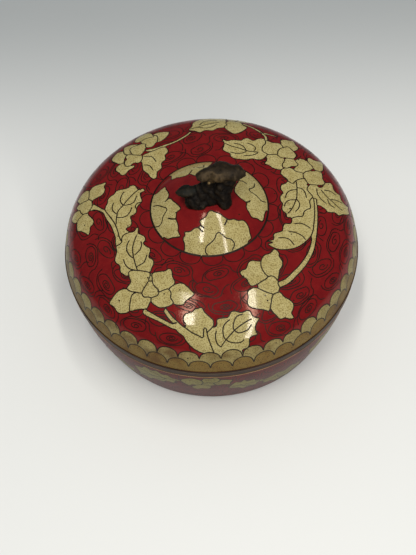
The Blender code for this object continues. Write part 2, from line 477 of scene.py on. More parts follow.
    def fills(self, centres: Points, traced: Points, widths: Points) -> Points:
        """Tell what fills each triangle: the ground, then the topmost cell, then any wire over it."""
        filled = np.full(len(centres), self.ground.value)
        seen: dict[int, Points] = {}
        for cell in self.cells:
            shown = inside(centres, cell.outline)
            if cell.window is not None:
                if id(cell.window) not in seen:
                    seen[id(cell.window)] = inside(centres, cell.window)
                shown &= seen[id(cell.window)]
            filled[shown] = cell.fill.value
        tree = lookup(self.bend(traced)[0])
        for index, point in enumerate(self.bend(centres)[0]):
            _, nearest, gap = tree.find(point)
            if gap < WIRE_SHARE * widths[nearest]:
                filled[index] = Fill.WIRE.value
        return filled


@dataclass(frozen=True)
class Petal:
    """One petal, sprung from `base` to a point at `tip`; its sides stray by a share of its width."""

    base: Place
    tip: Place
    width: float
    stray: float = 0.045

    def draw(self, sheet: Sheet) -> None:
        """Lay the petal on the sheet."""
        base, tip = np.array(self.base), np.array(self.tip)
        along = tip - base
        side = np.array([-along[1], along[0]]) / np.hypot(*along) * self.width
        luck = np.random.default_rng(seed_of(self.tip))
        edge = [(0.02, 0.16), (0.24, 0.40), (0.52, 0.50), (0.80, 0.42), (0.90, 0.17)]
        left = [(t, w + luck.uniform(-self.stray, self.stray)) for t, w in edge]
        right = [(t, -w + luck.uniform(-self.stray, self.stray)) for t, w in edge]
        ring = [*left, (1.0, 0.0), (1.0, 0.0), *right[::-1]]
        sheet.motif(bent([tuple(base + t * along + w * side) for t, w in ring], closed=True))


@dataclass(frozen=True)
class Heart:
    """The round middle of a flower."""

    centre: Place
    radius: float

    def draw(self, sheet: Sheet) -> None:
        """Lay the heart on the sheet."""
        sheet.motif(bent(np.array(self.centre) + circle(self.radius, count=24, start=6), closed=True))


@dataclass(frozen=True)
class Stem:
    """A stem between two wires, through places on the sheet, that widens from `start` to `end`."""

    places: Sequence[Place]
    start: float
    end: float
    step: float = 1.2

    def draw(self, sheet: Sheet) -> None:
        """Lay the stem on the sheet."""
        line = resample(bent(self.places), self.step, False)
        ahead = np.gradient(line, axis=0)
        ahead /= np.hypot(*ahead.T)[:, None]
        side = np.column_stack([-ahead[:, 1], ahead[:, 0]])
        half = np.linspace(self.start, self.end, len(line))[:, None] / 2
        left, right = line + half * side, line - half * side
        sheet.motif(resample(np.vstack([left, right[::-1]]), TRACE_STEP, True))


@dataclass(frozen=True)
class Patch:
    """A cell of free shape, with fine wires and heavier ticks laid on it."""

    outline: Sequence[Place]
    veins: Sequence[Sequence[Place]] = ()
    ticks: Sequence[Sequence[Place]] = ()

    def draw(self, sheet: Sheet) -> None:
        """Lay the cell and its wires on the sheet."""
        sheet.motif(bent(self.outline, closed=True))
        for vein in self.veins:
            sheet.wire(bent(vein))
        for tick in self.ticks:
            sheet.wire(bent(tick), TICK_WIRE)


@dataclass(frozen=True)
class Cloud:
    """A cloud scroll of bare wire in the red ground: an egg, a curl in it and a wave that laps round it."""

    centre: Place
    length: float
    height: float
    heading: float
    hand: int
    curl: float
    reach: float

    def lines(self) -> list[tuple[list[Place], bool]]:
        """Return the cloud's lines as shares of its length and height, and whether each is closed."""
        luck = np.random.default_rng(seed_of(self.centre))
        egg = [(-0.50, 0.00), (-0.42, 0.28), (-0.20, 0.44), (0.08, 0.46), (0.34, 0.36), (0.49, 0.08)]
        egg += [(0.42, -0.26), (0.18, -0.43), (-0.12, -0.46), (-0.38, -0.32)]
        egg = [(x + luck.uniform(-0.03, 0.03), y + luck.uniform(-0.06, 0.06)) for x, y in egg]
        turn = np.linspace(0, math.tau * self.curl, int(10 * self.curl)) + luck.uniform(-0.6, 0.6)
        reach = np.linspace(0.27, 0.05, len(turn))
        curl = [(float(0.04 + r * math.cos(a)), float(r * math.sin(a))) for r, a in zip(reach, turn)]
        wave = [(-0.66, -0.34), (-0.62, 0.06), (-0.46, 0.42), (-0.16, 0.63), (0.16, 0.60), (0.44, 0.56)]
        wave += [(0.63, 0.24), (0.64, -0.08), (0.64 * self.reach, -0.40), (0.80 * self.reach, -0.62)]
        wave = [(x + luck.uniform(-0.02, 0.02), y + luck.uniform(-0.04, 0.04)) for x, y in wave]
        return [(egg, True), (curl, False), (wave, False)]

    def draw(self, sheet: Sheet) -> None:
        """Lay the scroll on the sheet, true to its size on the bent surface."""
        centre = np.array(self.centre)
        distance = np.hypot(*centre)
        out = centre / distance
        across = np.array([-out[1], out[0]])
        squeeze = float(sheet.profile.at(np.array([distance - sheet.hole]))[0, 0]) / distance
        heading = math.radians(self.heading)
        for line, closed in self.lines():
            local = np.array(line) * (self.length, self.height * self.hand)
            around = (local[:, 0] * math.cos(heading) - local[:, 1] * math.sin(heading)) / squeeze / distance
            along = local[:, 0] * math.sin(heading) + local[:, 1] * math.cos(heading)
            reach = distance + along
            places = reach[:, None] * (np.cos(around)[:, None] * out + np.sin(around)[:, None] * across)
            sheet.wire(bent([tuple(p) for p in places], closed), CLOUD_WIRE, closed)


def cloud_ground(sheet: Sheet, inner: float, outer: float, rows: int, pitch: float, seed: int) -> None:
    """Fill a ground with rows of cloud scrolls.

    Args:
        sheet: The sheet to draw on, before its cells.
        inner: The ground's inner radius on the sheet.
        outer: Its outer radius.
        rows: How many rows of clouds.
        pitch: The true distance between clouds along a row.
        seed: What the scatter grows from.
    """
    luck = np.random.default_rng(seed)
    depth = (outer - inner) / rows
    for row in range(rows):
        radius = inner + (row + 0.5) * depth
        true_radius = float(sheet.profile.at(np.array([radius - sheet.hole]))[0, 0])
        count = round(math.tau * true_radius / pitch)
        start = luck.uniform(0, 1)
        for number in range(count):
            angle = math.tau * (number + start + luck.uniform(-0.08, 0.08)) / count
            reach = radius + luck.uniform(-0.08, 0.08) * depth
            length = pitch * luck.uniform(0.62, 0.76)
            Cloud(
                centre=(reach * math.cos(angle), reach * math.sin(angle)),
                length=length,
                height=depth * luck.uniform(0.66, 0.80),
                heading=luck.uniform(-22, 22),
                hand=int(luck.choice([-1, 1])),
                curl=float(luck.choice([1.2, 1.6, 2.0])),
                reach=min(1.2, pitch / length / 1.35),
            ).draw(sheet)


@dataclass(frozen=True)
class Scallops:
    """A row of scallops round the axis, with their tips at one radius of the sheet and cusps at another."""

    tip: float
    cusp: float
    count: int
    turn: float

    def arcs(self) -> Points:
        """Return the whole row's line, cusp to cusp, for one turn round the axis."""
        share = np.linspace(0, 1, SCALLOP_PARTS, endpoint=False)
        bulge = np.sqrt(np.maximum(0, 1 - (2 * share - 1) ** 2)) ** 0.9
        angles, radii = [], []
        luck = np.random.default_rng(self.count)
        for number in range(self.count):
            tip = self.tip + luck.uniform(-SCALLOP_STRAY, SCALLOP_STRAY)
            angles.append(math.radians(self.turn) + math.tau * (number + share) / self.count)
            radii.append(self.cusp + (tip - self.cusp) * bulge)
        angle, radius = np.concatenate(angles), np.concatenate(radii)
        return np.column_stack([radius * np.cos(angle), radius * np.sin(angle)])


def turned_rows(
    start: Points, rows: Sequence[Place], outward_first: bool, base: int
) -> tuple[Points, Points, Points]:
    """Turn a profile that goes on from a ring of corners, and close it on the axis.

    Args:
        start: The indices of the ring's corners.
        rows: The profile's (radius, height) points; the last one lies on the axis.
        outward_first: Whether the faces run from the ring to the next row before they go round.
        base: The index that the first new corner gets.

    Returns:
        The new corners, their normals and the faces, as triangles.
    """
    around = circle(1.0, TURN_STEPS)
    outline = np.asarray(rows, float)
    steps = np.diff(outline, axis=0)
    lean = np.column_stack([-steps[:, 1], steps[:, 0]]) * (1 if outward_first else -1)
    normal = np.zeros_like(outline)
    normal[:-1] += lean
    normal[1:] += lean
    normal /= np.maximum(np.linalg.norm(normal, axis=1), 1e-9)[:, None]
    corners, normals, faces = [], [], []
    previous, index = start, base
    for (radius, height), (out, up) in zip(outline[1:-1], normal[1:-1]):
        corners.append(np.column_stack([radius * around, np.full(TURN_STEPS, height)]))
        normals.append(np.column_stack([out * around, np.full(TURN_STEPS, up)]))
        ring = np.arange(index, index + TURN_STEPS)
        quads = (previous, ring, np.roll(ring, -1), np.roll(previous, -1))
        if not outward_first:
            quads = quads[::-1]
        faces.append(np.column_stack([quads[0], quads[1], quads[2]]))
        faces.append(np.column_stack([quads[0], quads[2], quads[3]]))
        previous, index = ring, index + TURN_STEPS
    corners.append(np.array([[0.0, 0.0, outline[-1][1]]]))
    normals.append(np.array([[0.0, 0.0, math.copysign(1.0, normal[-2][1])]]))
    centre = np.full(TURN_STEPS, index)
    fan = (previous, centre, np.roll(previous, -1))
    faces.append(np.column_stack(fan if outward_first else fan[::-1]))
    return np.vstack(corners), np.vstack(normals), np.vstack(faces)


def placed(name: str, data: bpy.types.ID) -> Object:
    """Put a mesh, light or camera into the scene, as an object of the same name."""
    thing = bpy.data.objects.new(name, data)
    bpy.context.scene.collection.objects.link(thing)
    return thing


class Shell:
    """A closed mesh built from a bent sheet and turned profiles, with a fill for each face."""

    def __init__(self, sheet: Sheet) -> None:
        """Cut and bend the sheet."""
        places, faces, fills, self.edges = sheet.cut()
        if sheet.hole:
            faces = faces[:, ::-1]
        points, normals = sheet.bend(places)
        self.points, self.normals = [points], [normals]
        self.faces, self.fills = [faces], [fills]
        self.count = len(points)

    def add_rows(
        self,
        start: Points,
        rows: Sequence[Place],
        outward_first: bool,
        fill_at: Callable[[float, float], Fill],
    ) -> None:
        """Turn a profile on from one of the sheet's edges, down to the axis.

        Args:
            start: The indices of the edge's corners.
            rows: The profile's (radius, height) points, from the edge to the axis.
            outward_first: The order of the faces, as turned_rows takes it.
            fill_at: A function from a face's (radius, height) to its fill.
        """
        corners, normals, faces = turned_rows(start, rows, outward_first, self.count)
        self.points.append(corners)
        self.normals.append(normals)
        self.count += len(corners)
        middles = np.vstack(self.points)[faces].mean(axis=1)
        fills = [fill_at(math.hypot(x, y), z).value for x, y, z in middles]
        self.faces.append(faces)
        self.fills.append(np.array(fills))

    def build(self, name: str, materials: Sequence[Material]) -> Object:
        """Make the object, in metres, with its materials in the order of Fill."""
        faces, fills = np.vstack(self.faces), np.concatenate(self.fills)
        mesh = bpy.data.meshes.new(name)
        mesh.from_pydata((np.vstack(self.points) * MM).tolist(), [], faces.tolist())
        for material in materials:
            mesh.materials.append(material)
        mesh.polygons.foreach_set("material_index", fills.astype(np.int32))
        mesh.shade_smooth()
        mesh.normals_split_custom_set_from_vertices(np.vstack(self.normals).tolist())
        mesh.update()
        return placed(name, mesh)


def bezier(start: Place, start_handle: Place, end_handle: Place, end: Place, steps: int) -> Points:
    """Return the points of a cubic Bezier curve in (radius, height)."""
    share = np.linspace(0, 1, steps + 1)[:, None]
    rest = 1 - share
    weights = (rest**3, 3 * rest**2 * share, 3 * rest * share**2, share**3)
    return sum(w * np.array(p) for w, p in zip(weights, (start, start_handle, end_handle, end)))


def arc(centre: Place, radius: float, start: float, end: float, steps: int) -> Points:
    """Return the points of an arc in (radius, height); its angles are in degrees from the outward side."""
    turn = np.radians(np.linspace(start, end, steps + 1))
    return np.array(centre) + radius * np.column_stack([np.cos(turn), np.sin(turn)])


def inner_face(outer: Points, wall: float) -> Points:
    """Return a profile moved by the wall's thickness to the right-hand side of its own direction."""
    ahead = np.gradient(outer, axis=0)
    ahead /= np.linalg.norm(ahead, axis=1)[:, None]
    return outer + wall * np.column_stack([ahead[:, 1], -ahead[:, 0]])


@dataclass
class Lid:
    """The domed lid: boss, dome and shoulder in enamel, and a bare copper rim."""

    radius: float = 59.8
    seat: float = 37.2
    rim_height: float = 1.35
    rim_proud: float = 0.3
    wall: float = 2.2
    dome_rise: float = 21.5
    boss_radius: float = 22.7
    boss_rise: float = 8.4
    crown_fullness: float = 0.868
    shoulder_fullness: float = 0.551
    shoulder_angle: float = 80.4
    scallop_count: int = 46
    scallop_turn: float = -95.8
    upper_row: Span = (61.9, 65.4)
    lower_row: Span = (66.1, 70.3)
    boss_scallops: int = 18
    boss_scallop_depth: float = 4.2
    boss_scallop_turn: float = -99.0
    cloud_margin: float = 0.2

    @property
    def boss_curve(self) -> float:
        """Return the radius of the boss's curve."""
        return (self.boss_radius**2 + self.boss_rise**2) / (2 * self.boss_rise)

    @property
    def dome_foot(self) -> float:
        """Return the height at which the enamel meets the copper rim."""
        return self.seat + self.rim_height

    @property
    def ring(self) -> float:
        """Return the distance from the sheet's centre to the wire round the boss."""
        return self.boss_curve * math.asin(self.boss_radius / self.boss_curve)

    def boss_line(self, steps: int, inward: float = 0.0) -> Points:
        """Return the boss's profile from the axis out, moved inward by a distance."""
        top = self.dome_foot + self.dome_rise + self.boss_rise
        half_turn = math.degrees(math.asin(self.boss_radius / self.boss_curve))
        return arc((0, top - self.boss_curve), self.boss_curve - inward, 90, 90 - half_turn, steps)

    def dome_line(self, steps: int) -> Points:
        """Return the dome's profile from the foot of the boss out to the copper rim."""
        edge = (self.radius - self.rim_proud, self.dome_foot)
        crown = (self.boss_radius, self.dome_foot + self.dome_rise)
        crown_handle = (crown[0] + self.crown_fullness * (edge[0] - crown[0]), crown[1])
        reach = self.shoulder_fullness * self.dome_rise
        lean = math.radians(self.shoulder_angle)
        edge_handle = (edge[0] - reach * math.cos(lean), edge[1] + reach * math.sin(lean))
        return bezier(crown, crown_handle, edge_handle, edge, steps)

    def rim_rows(self) -> list[Place]:
        """Return the profile from the enamel's edge round the copper rim and over the inside to the axis."""
        out, low, face = self.radius, self.seat, self.radius - self.rim_proud
        inner = face - self.wall
        rows = [(face, low + self.rim_height), (face + 0.12, low + 1.40), (out - 0.05, low + 1.30)]
        rows += [(out, low + 1.15), (out, low + 0.20), (out - 0.10, low + 0.02), (out - 0.25, low)]
        rows += [(inner + 0.2, low), (inner, low + 0.1)]
        inside_dome = [p for p in inner_face(self.dome_line(40), self.wall)[::-1] if p[0] < inner]
        return [*rows, *map(tuple, inside_dome), *map(tuple, self.boss_line(14, self.wall)[::-1])]

    def draw_shoulder(self, sheet: Sheet) -> Points:
        """Draw the two rows of scallops over the shoulder, and the red ground inside them.

        Args:
            sheet: The lid's sheet.

        Returns:
            The upper row's line, which the garland stays inside.
        """
        half_pitch = 180 / self.scallop_count
        lower = Scallops(*self.lower_row, self.scallop_count, self.scallop_turn + half_pitch)
        upper = Scallops(*self.upper_row, self.scallop_count, self.scallop_turn)
        edge = resample(upper.arcs(), TRACE_STEP, True)
        sheet.cell(resample(lower.arcs(), TRACE_STEP, True), Fill.SHADE_PAINTED_OLIVE, SCALLOP_WIRE)
        sheet.cell(edge, Fill.RED, SCALLOP_WIRE)
        return edge

    def draw_ground(self, sheet: Sheet) -> None:
        """Draw the fine wires in the red ground: a ring of scallops outside the boss, and clouds beyond."""
        depth = self.boss_scallop_depth
        row = Scallops(self.ring + depth, self.ring, self.boss_scallops, self.boss_scallop_turn)
        sheet.wire(resample(row.arcs(), TRACE_STEP, True), CLOUD_WIRE, closed=True)
        inner, outer = self.ring + depth + self.cloud_margin, self.upper_row[0] - self.cloud_margin
        cloud_ground(sheet, inner, outer, rows=5, pitch=13.5, seed=7)

    def draw_boss(self, sheet: Sheet) -> None:
        """Draw the wire round the boss and the four half peonies inside it."""
        edge = circle(self.ring, count=1000)
        sheet.cell(edge, Fill.RED, RING_WIRE)
        sheet.window = edge
        for bloom in BOSS_PEONIES:
            bloom.draw(sheet)
        sheet.window = None
        sheet.wire(edge, RING_WIRE, closed=True)

    def build(self, materials: Sequence[Material]) -> Object:
        """Build the lid; its materials are in the order of Fill."""
        profile = Profile(np.vstack([self.boss_line(500), self.dome_line(900)[1:]]))
        sheet = Sheet(profile, Fill.SHADE_PAINTED_CREAM)
        edge = self.draw_shoulder(sheet)
        self.draw_ground(sheet)
        sheet.window = edge
        for motif in LID_GARLAND:
            motif.draw(sheet)
        sheet.window = None
        sheet.wire(edge, SCALLOP_WIRE, closed=True)
        self.draw_boss(sheet)
        shell = Shell(sheet)
        inner = self.radius - self.rim_proud - self.wall

        def fill_at(radius: float, height: float) -> Fill:
            """Return copper for the rim, and counter-enamel inside."""
            return Fill.COPPER if radius > inner - 0.05 and height < self.dome_foot + 0.1 else Fill.COUNTER

        shell.add_rows(shell.edges, self.rim_rows(), True, fill_at)
        return shell.build("lid_skin", materials)


@dataclass
class Body:
    """The vessel: enamelled side and underside, bare copper rim, lip and foot ring, and enamelled inside."""

    radius: float = 59.8
    height: float = 36.9
    rim_height: float = 3.5
    rim_proud: float = 0.3
    base_radius: float = 53.9
    base_turn: float = 1.6
    foot_radius: float = 51.4
    foot_width: float = 2.2
    foot_height: float = 1.6
    inner_fillet: float = 3.0
    top_lean: float = 1.0
    base_lean: float = 13.9
    wall: float = 2.2
    lip_rise: float = 2.4
    lip_thickness: float = 1.3
    lip_drop: float = 7.0
    lip_clearance: float = 0.5
    sheet_hole: float = 42.0
    mid_radius: float = 57.0
    sways: tuple[float, ...] = (0.0, -1.5, 0.8, -2.0, 0.5)
    base_line: float = 3.6
    base_wire: float = 0.4
    clouds_above: float = 4.2
    clouds_below: float = 2.0

    def side_line(self, steps: int) -> Points:
        """Return the side's profile from the copper rim down to the base."""
        top = (self.radius - 2 * self.rim_proud, self.height - self.rim_height)
        low = (self.base_radius, self.foot_height + self.base_turn)
        reach = (top[1] - low[1]) / 3
        top_handle = (top[0] - reach * math.tan(math.radians(self.top_lean)), top[1] - reach)
        low_handle = (low[0] + reach * math.tan(math.radians(self.base_lean)), low[1] + reach)
        return bezier(top, top_handle, low_handle, low, steps)

    def outside(self) -> Profile:
        """Return the enamelled outside, from the foot ring up to the copper rim."""
        centre = (self.base_radius - self.base_turn, self.foot_height + self.base_turn)
        ledge = np.linspace((self.foot_radius, self.foot_height), (centre[0], self.foot_height), 20)
        turn = arc(centre, self.base_turn, -90, 0, 60)
        return Profile(np.vstack([ledge, turn[1:], self.side_line(700)[::-1][1:]]))

    def foot_rows(self) -> list[Place]:
        """Return the profile from the outside's lower edge round the foot ring and over the underside."""
        out, inner, top = self.foot_radius, self.foot_radius - self.foot_width, self.foot_height
        rows = [(out, top), (out, top - 0.05), (out, 0.20), (out - 0.06, 0.06), (out - 0.20, 0.0)]
        rows += [(inner + 0.20, 0.0), (inner + 0.06, 0.06), (inner, 0.20), (inner, top - 0.25)]
        rows += [(inner - 0.08, top - 0.08), (inner - 0.25, top)]
        return [*rows, *((radius, top) for radius in (44.0, 36.0, 27.0, 18.0, 9.0, 0.0))]

    def rim_rows(self) -> list[Place]:
        """Return the profile from the side's upper edge round the rim and the lip and down the inside."""
        face, low, top = self.radius - self.rim_proud, self.height - self.rim_height, self.height
        rows = [(face - 0.3, low), (face - 0.12, low), (face + 0.04, low + 0.06), (face + 0.13, low + 0.20)]
        rows += [(face + 0.16, low + 0.35), (face + 0.13, low + 0.50), (face + 0.04, low + 0.66)]
        rows += [(face, low + 0.85), (face, top - 0.30), (face - 0.07, top - 0.08), (face - 0.25, top)]
        out = face - self.wall - self.lip_clearance
        inner, crest, drop = out - self.lip_thickness, top + self.lip_rise, top - self.lip_drop
        rows += [(out + 0.12, top), (out, top + 0.1), (out, crest - 0.2), (out - 0.08, crest - 0.05)]
        rows += [(out - 0.22, crest), (inner + 0.22, crest), (inner + 0.06, crest - 0.05)]
        rows += [(inner, crest - 0.2), (inner, drop + 0.1), (inner + 0.04, drop)]
        floor = self.foot_height + self.wall
        radii, heights = inner_face(self.side_line(60), self.wall)[::-1].T
        fillet_top = floor + self.inner_fillet
        fillet_radius = float(np.interp(fillet_top, heights, radii))
        steps = np.linspace(drop - 0.05, fillet_top, 24)
        rows += [(float(np.interp(z, heights, radii)), float(z)) for z in steps]
        fillet = arc((fillet_radius - self.inner_fillet, fillet_top), self.inner_fillet, 0, -90, 10)
        rows += [tuple(p) for p in fillet[1:]]
        return [*rows, *((radius, floor) for radius in (42.0, 33.0, 24.0, 16.0, 8.0, 0.0))]

    def spot(self, along: float, height: float) -> Place:
        """Return a place on the side's sheet.

        Args:
            along: The distance to the right of the front, in millimetres round the side.
            height: The distance up the outside's profile from the foot ring.
        """
        angle = math.radians(-90) + along / self.mid_radius
        reach = self.sheet_hole + height
        return (reach * math.cos(angle), reach * math.sin(angle))

    def draw_side(self, sheet: Sheet) -> None:
        """Draw the side's fine ground wires and its garland, one flower and its leaves for each sway."""
        inner, outer = self.sheet_hole + self.clouds_above, sheet.radius - self.clouds_below
        cloud_ground(sheet, inner, outer, rows=4, pitch=10.5, seed=19)
        sheet.wire(circle(self.sheet_hole + self.base_line, count=2400), self.base_wire, closed=True)
        for repeat, sway in enumerate(self.sways):
            start = math.tau * self.mid_radius * repeat / len(self.sways)
            for shape in SIDE_SPRAY:
                outline, *veins = ([self.spot(start + u, w + sway) for u, w in line] for line in shape)
                Patch(outline, veins).draw(sheet)

    def build(self, materials: Sequence[Material]) -> Object:
        """Build the body; its materials are in the order of Fill."""
        sheet = Sheet(self.outside(), Fill.RED, self.sheet_hole)
        self.draw_side(sheet)
        shell = Shell(sheet)

        def foot_fill(radius: float, height: float) -> Fill:
            """Return copper for the foot ring, and counter-enamel for the underside."""
            return Fill.COPPER if radius > self.foot_radius - self.foot_width - 0.2 else Fill.COUNTER

        def rim_fill(radius: float, height: float) -> Fill:
            """Return copper for the rim and the lip, and counter-enamel for the inside."""
            return Fill.COPPER if height > self.height - self.lip_drop - 0.03 else Fill.COUNTER

        shell.add_rows(shell.edges[TURN_STEPS:], self.foot_rows(), True, foot_fill)
        shell.add_rows(shell.edges[:TURN_STEPS], self.rim_rows(), False, rim_fill)
        return shell.build("body_skin", materials)


def linear(code: str) -> tuple[float, float, float, float]:
    """Turn an sRGB hex colour such as "#7a1c20" into linear red, green, blue and full alpha."""
    shares = [int(code[k : k + 2], 16) / 255 for k in (1, 3, 5)]
    return (*(s / 12.92 if s <= 0.04045 else ((s + 0.055) / 1.055) ** 2.4 for s in shares), 1.0)


def grain(size: float) -> float:
    """Return a texture's scale from the size of its grain in millimetres; object coordinates are metres."""
    return 1 / (size * MM)


def add(tree: Tree, kind: str, links: Optional[dict] = None, **settings: Any) -> bpy.types.Node:
    """Add a shader node with its settings and links.

    Args:
        tree: The node tree.
        kind: The node's type, without its leading "ShaderNode".
        links: For each input, by name or number: its value, the socket that feeds it, or the node whose first
            output feeds it.
        **settings: The node's own settings.

    Returns:
        The node.
    """
    node = tree.nodes.new(f"ShaderNode{kind}")
    for name, value in settings.items():
        setattr(node, name, value)
    for entry, value in (links or {}).items():
        source = value.outputs[0] if isinstance(value, bpy.types.Node) else value
        if isinstance(source, Socket):
            tree.links.new(source, node.inputs[entry])
        else:
            node.inputs[entry].default_value = source
    return node


def blank(name: str) -> tuple[Material, Tree, Socket]:
    """Return a new material, its empty node tree, and the object coordinates in metres."""
    material = bpy.data.materials.new(name)
    material.use_nodes = True
    material.node_tree.nodes.clear()
    tree = material.node_tree
    return material, tree, add(tree, "TexCoord").outputs["Object"]


def close(tree: Tree, shader: bpy.types.Node) -> None:
    """Join the shader to the material's output."""
    add(tree, "OutputMaterial", {"Surface": shader})


@dataclass(frozen=True)
class Mottle:
    """Soft patches of another shade in a colour.

    They follow a noise of one grain size, in millimetres: none below its level `low`, `most` above `high`.
    """

    shade: str
    size: float
    detail: float
    low: float
    high: float
    most: float = 1.0

    def over(self, tree: Tree, place: Socket, colour: Any) -> tuple[Socket, bpy.types.Node]:
        """Lay the patches over a colour.

        Args:
            tree: The material's node tree.
            place: The object coordinates.
            colour: The colour, or the socket that gives it.

        Returns:
            The socket of the mottled colour, and the noise.
        """
        spots = add(tree, "TexNoise", {"Vector": place, "Scale": grain(self.size), "Detail": self.detail})
        span = {"From Min": self.low, "From Max": self.high, "To Max": self.most}
        share = add(tree, "MapRange", {"Value": spots, **span})
        mixed = add(tree, "Mix", {0: share, 6: colour, 7: linear(self.shade)}, data_type="RGBA")
        return mixed.outputs[2], spots


@dataclass(frozen=True)
class GlassEnamel:
    """Opaque glass enamel, fired into the wire cells, stoned flat and polished.

    It gives the eye a dense colour under a hard, slightly wavy gloss. The colour drifts in slow clouds where
    the powder was laid thicker, fine grains of another shade stay unmelted in it, and here and there a
    bubble that was cut open by the stoning holds dirt.
    """

    name: str
    colour: str
    drift: str
    grains: str
    grain_share: float
    pit_share: float
    stain: str = "#000000"
    stain_share: float = 0.0
    roughness: float = 0.08
    ior: float = 1.32
    gloss_tint: str = "#ffffff"
    dirt: str = "#241a12"

    # Real sizes in millimetres. The grains are 0.1 to 0.2 mm and are drawn coarser, so that they show
    drift_size: float = 3.5
    grain_size: float = 0.42
    stain_size: float = 14.0
    pit_spacing: float = 3.6
    wave_size: float = 2.4
    wave_depth: float = 0.05

    # The noise's levels between which a shade or a duller gloss comes in, and how much duller it gets
    drift_levels: Span = (0.38, 0.66)
    stain_levels: Span = (0.54, 0.68)
    dull_levels: Span = (0.40, 0.75)
    dull_more: float = 0.06

    # The grains' level where there are none, how far their share lowers it, and how soft and strong they are
    grain_level: float = 0.70
    grain_lower: float = 0.16
    grain_soft: float = 0.10
    grain_most: float = 0.85

    # A bubble's radius, as shares of the spacing, at its floor and at its rim, and how deep it sinks
    pit_radii: Span = (0.07, 0.11)
    pit_sink: float = 0.6
    bump_strength: float = 0.35

    def material(self) -> Material:
        """Return the material."""
        material, tree, place = blank(self.name)
        edge = self.grain_level - self.grain_lower * self.grain_share
        drift = Mottle(self.drift, self.drift_size, 4.0, *self.drift_levels)
        grains = Mottle(self.grains, self.grain_size, 2.0, edge, edge + self.grain_soft, self.grain_most)
        stain = Mottle(self.stain, self.stain_size, 5.0, *self.stain_levels, self.stain_share)
        colour, _ = drift.over(tree, place, linear(self.colour))
        colour, speck = grains.over(tree, place, colour)
        colour, _ = stain.over(tree, place, colour)
        pit = add(tree, "TexVoronoi", {"Vector": place, "Scale": grain(self.pit_spacing)})
        floor, rim = self.pit_radii
        span = {"From Min": floor, "From Max": rim, "To Min": 1.0, "To Max": 0.0}
        reach = add(tree, "MapRange", {"Value": pit.outputs["Distance"], **span})
        luck = add(tree, "SeparateColor", {"Color": pit.outputs["Color"]})
        kept = add(tree, "Math", {0: luck, 1: self.pit_share}, operation="LESS_THAN")
        here = add(tree, "Math", {0: reach, 1: kept}, operation="MULTIPLY")
        pitted = add(tree, "Mix", {0: here, 6: colour, 7: linear(self.dirt)}, data_type="RGBA")
        wave = add(tree, "TexNoise", {"Vector": place, "Scale": grain(self.wave_size), "Detail": 1.0})
        relief = add(tree, "Math", {0: here, 1: -self.pit_sink, 2: wave}, operation="MULTIPLY_ADD")
        depth = {"Strength": self.bump_strength, "Distance": self.wave_depth * MM}
        bump = add(tree, "Bump", {"Height": relief, **depth})
        low, high = self.dull_levels
        span = {"From Min": low, "From Max": high}
        rough = {"To Min": self.roughness, "To Max": self.roughness + self.dull_more}
        dull = add(tree, "MapRange", {"Value": speck, **span, **rough})
        gloss = {"Roughness": dull, "IOR": self.ior, "Specular Tint": linear(self.gloss_tint)}
        close(tree, add(tree, "BsdfPrincipled", {"Base Color": pitted.outputs[2], "Normal": bump, **gloss}))
        return material


@dataclass(frozen=True)
class BentWire:
    """Drawn copper wire, bent on edge between the cells and stoned level with the enamel.

    Its top has blackened with age, so that it reads as a thin dark line, a little duller than the glass.
    """

    name: str
    colour: str = "#150f0b"
    worn: str = "#2b1c13"
    metallic: float = 0.2
    roughness: float = 0.45
    gloss: float = 0.2
    wear_size: float = 5.0
    wear_levels: Span = (0.48, 0.72)

    def material(self) -> Material:
        """Return the material."""
        material, tree, place = blank(self.name)
        wear = Mottle(self.worn, self.wear_size, 3.0, *self.wear_levels)
        tone, _ = wear.over(tree, place, linear(self.colour))
        gloss = {"Metallic": self.metallic, "Roughness": self.roughness, "Specular IOR Level": self.gloss}
        close(tree, add(tree, "BsdfPrincipled", {"Base Color": tone, **gloss}))
        return material


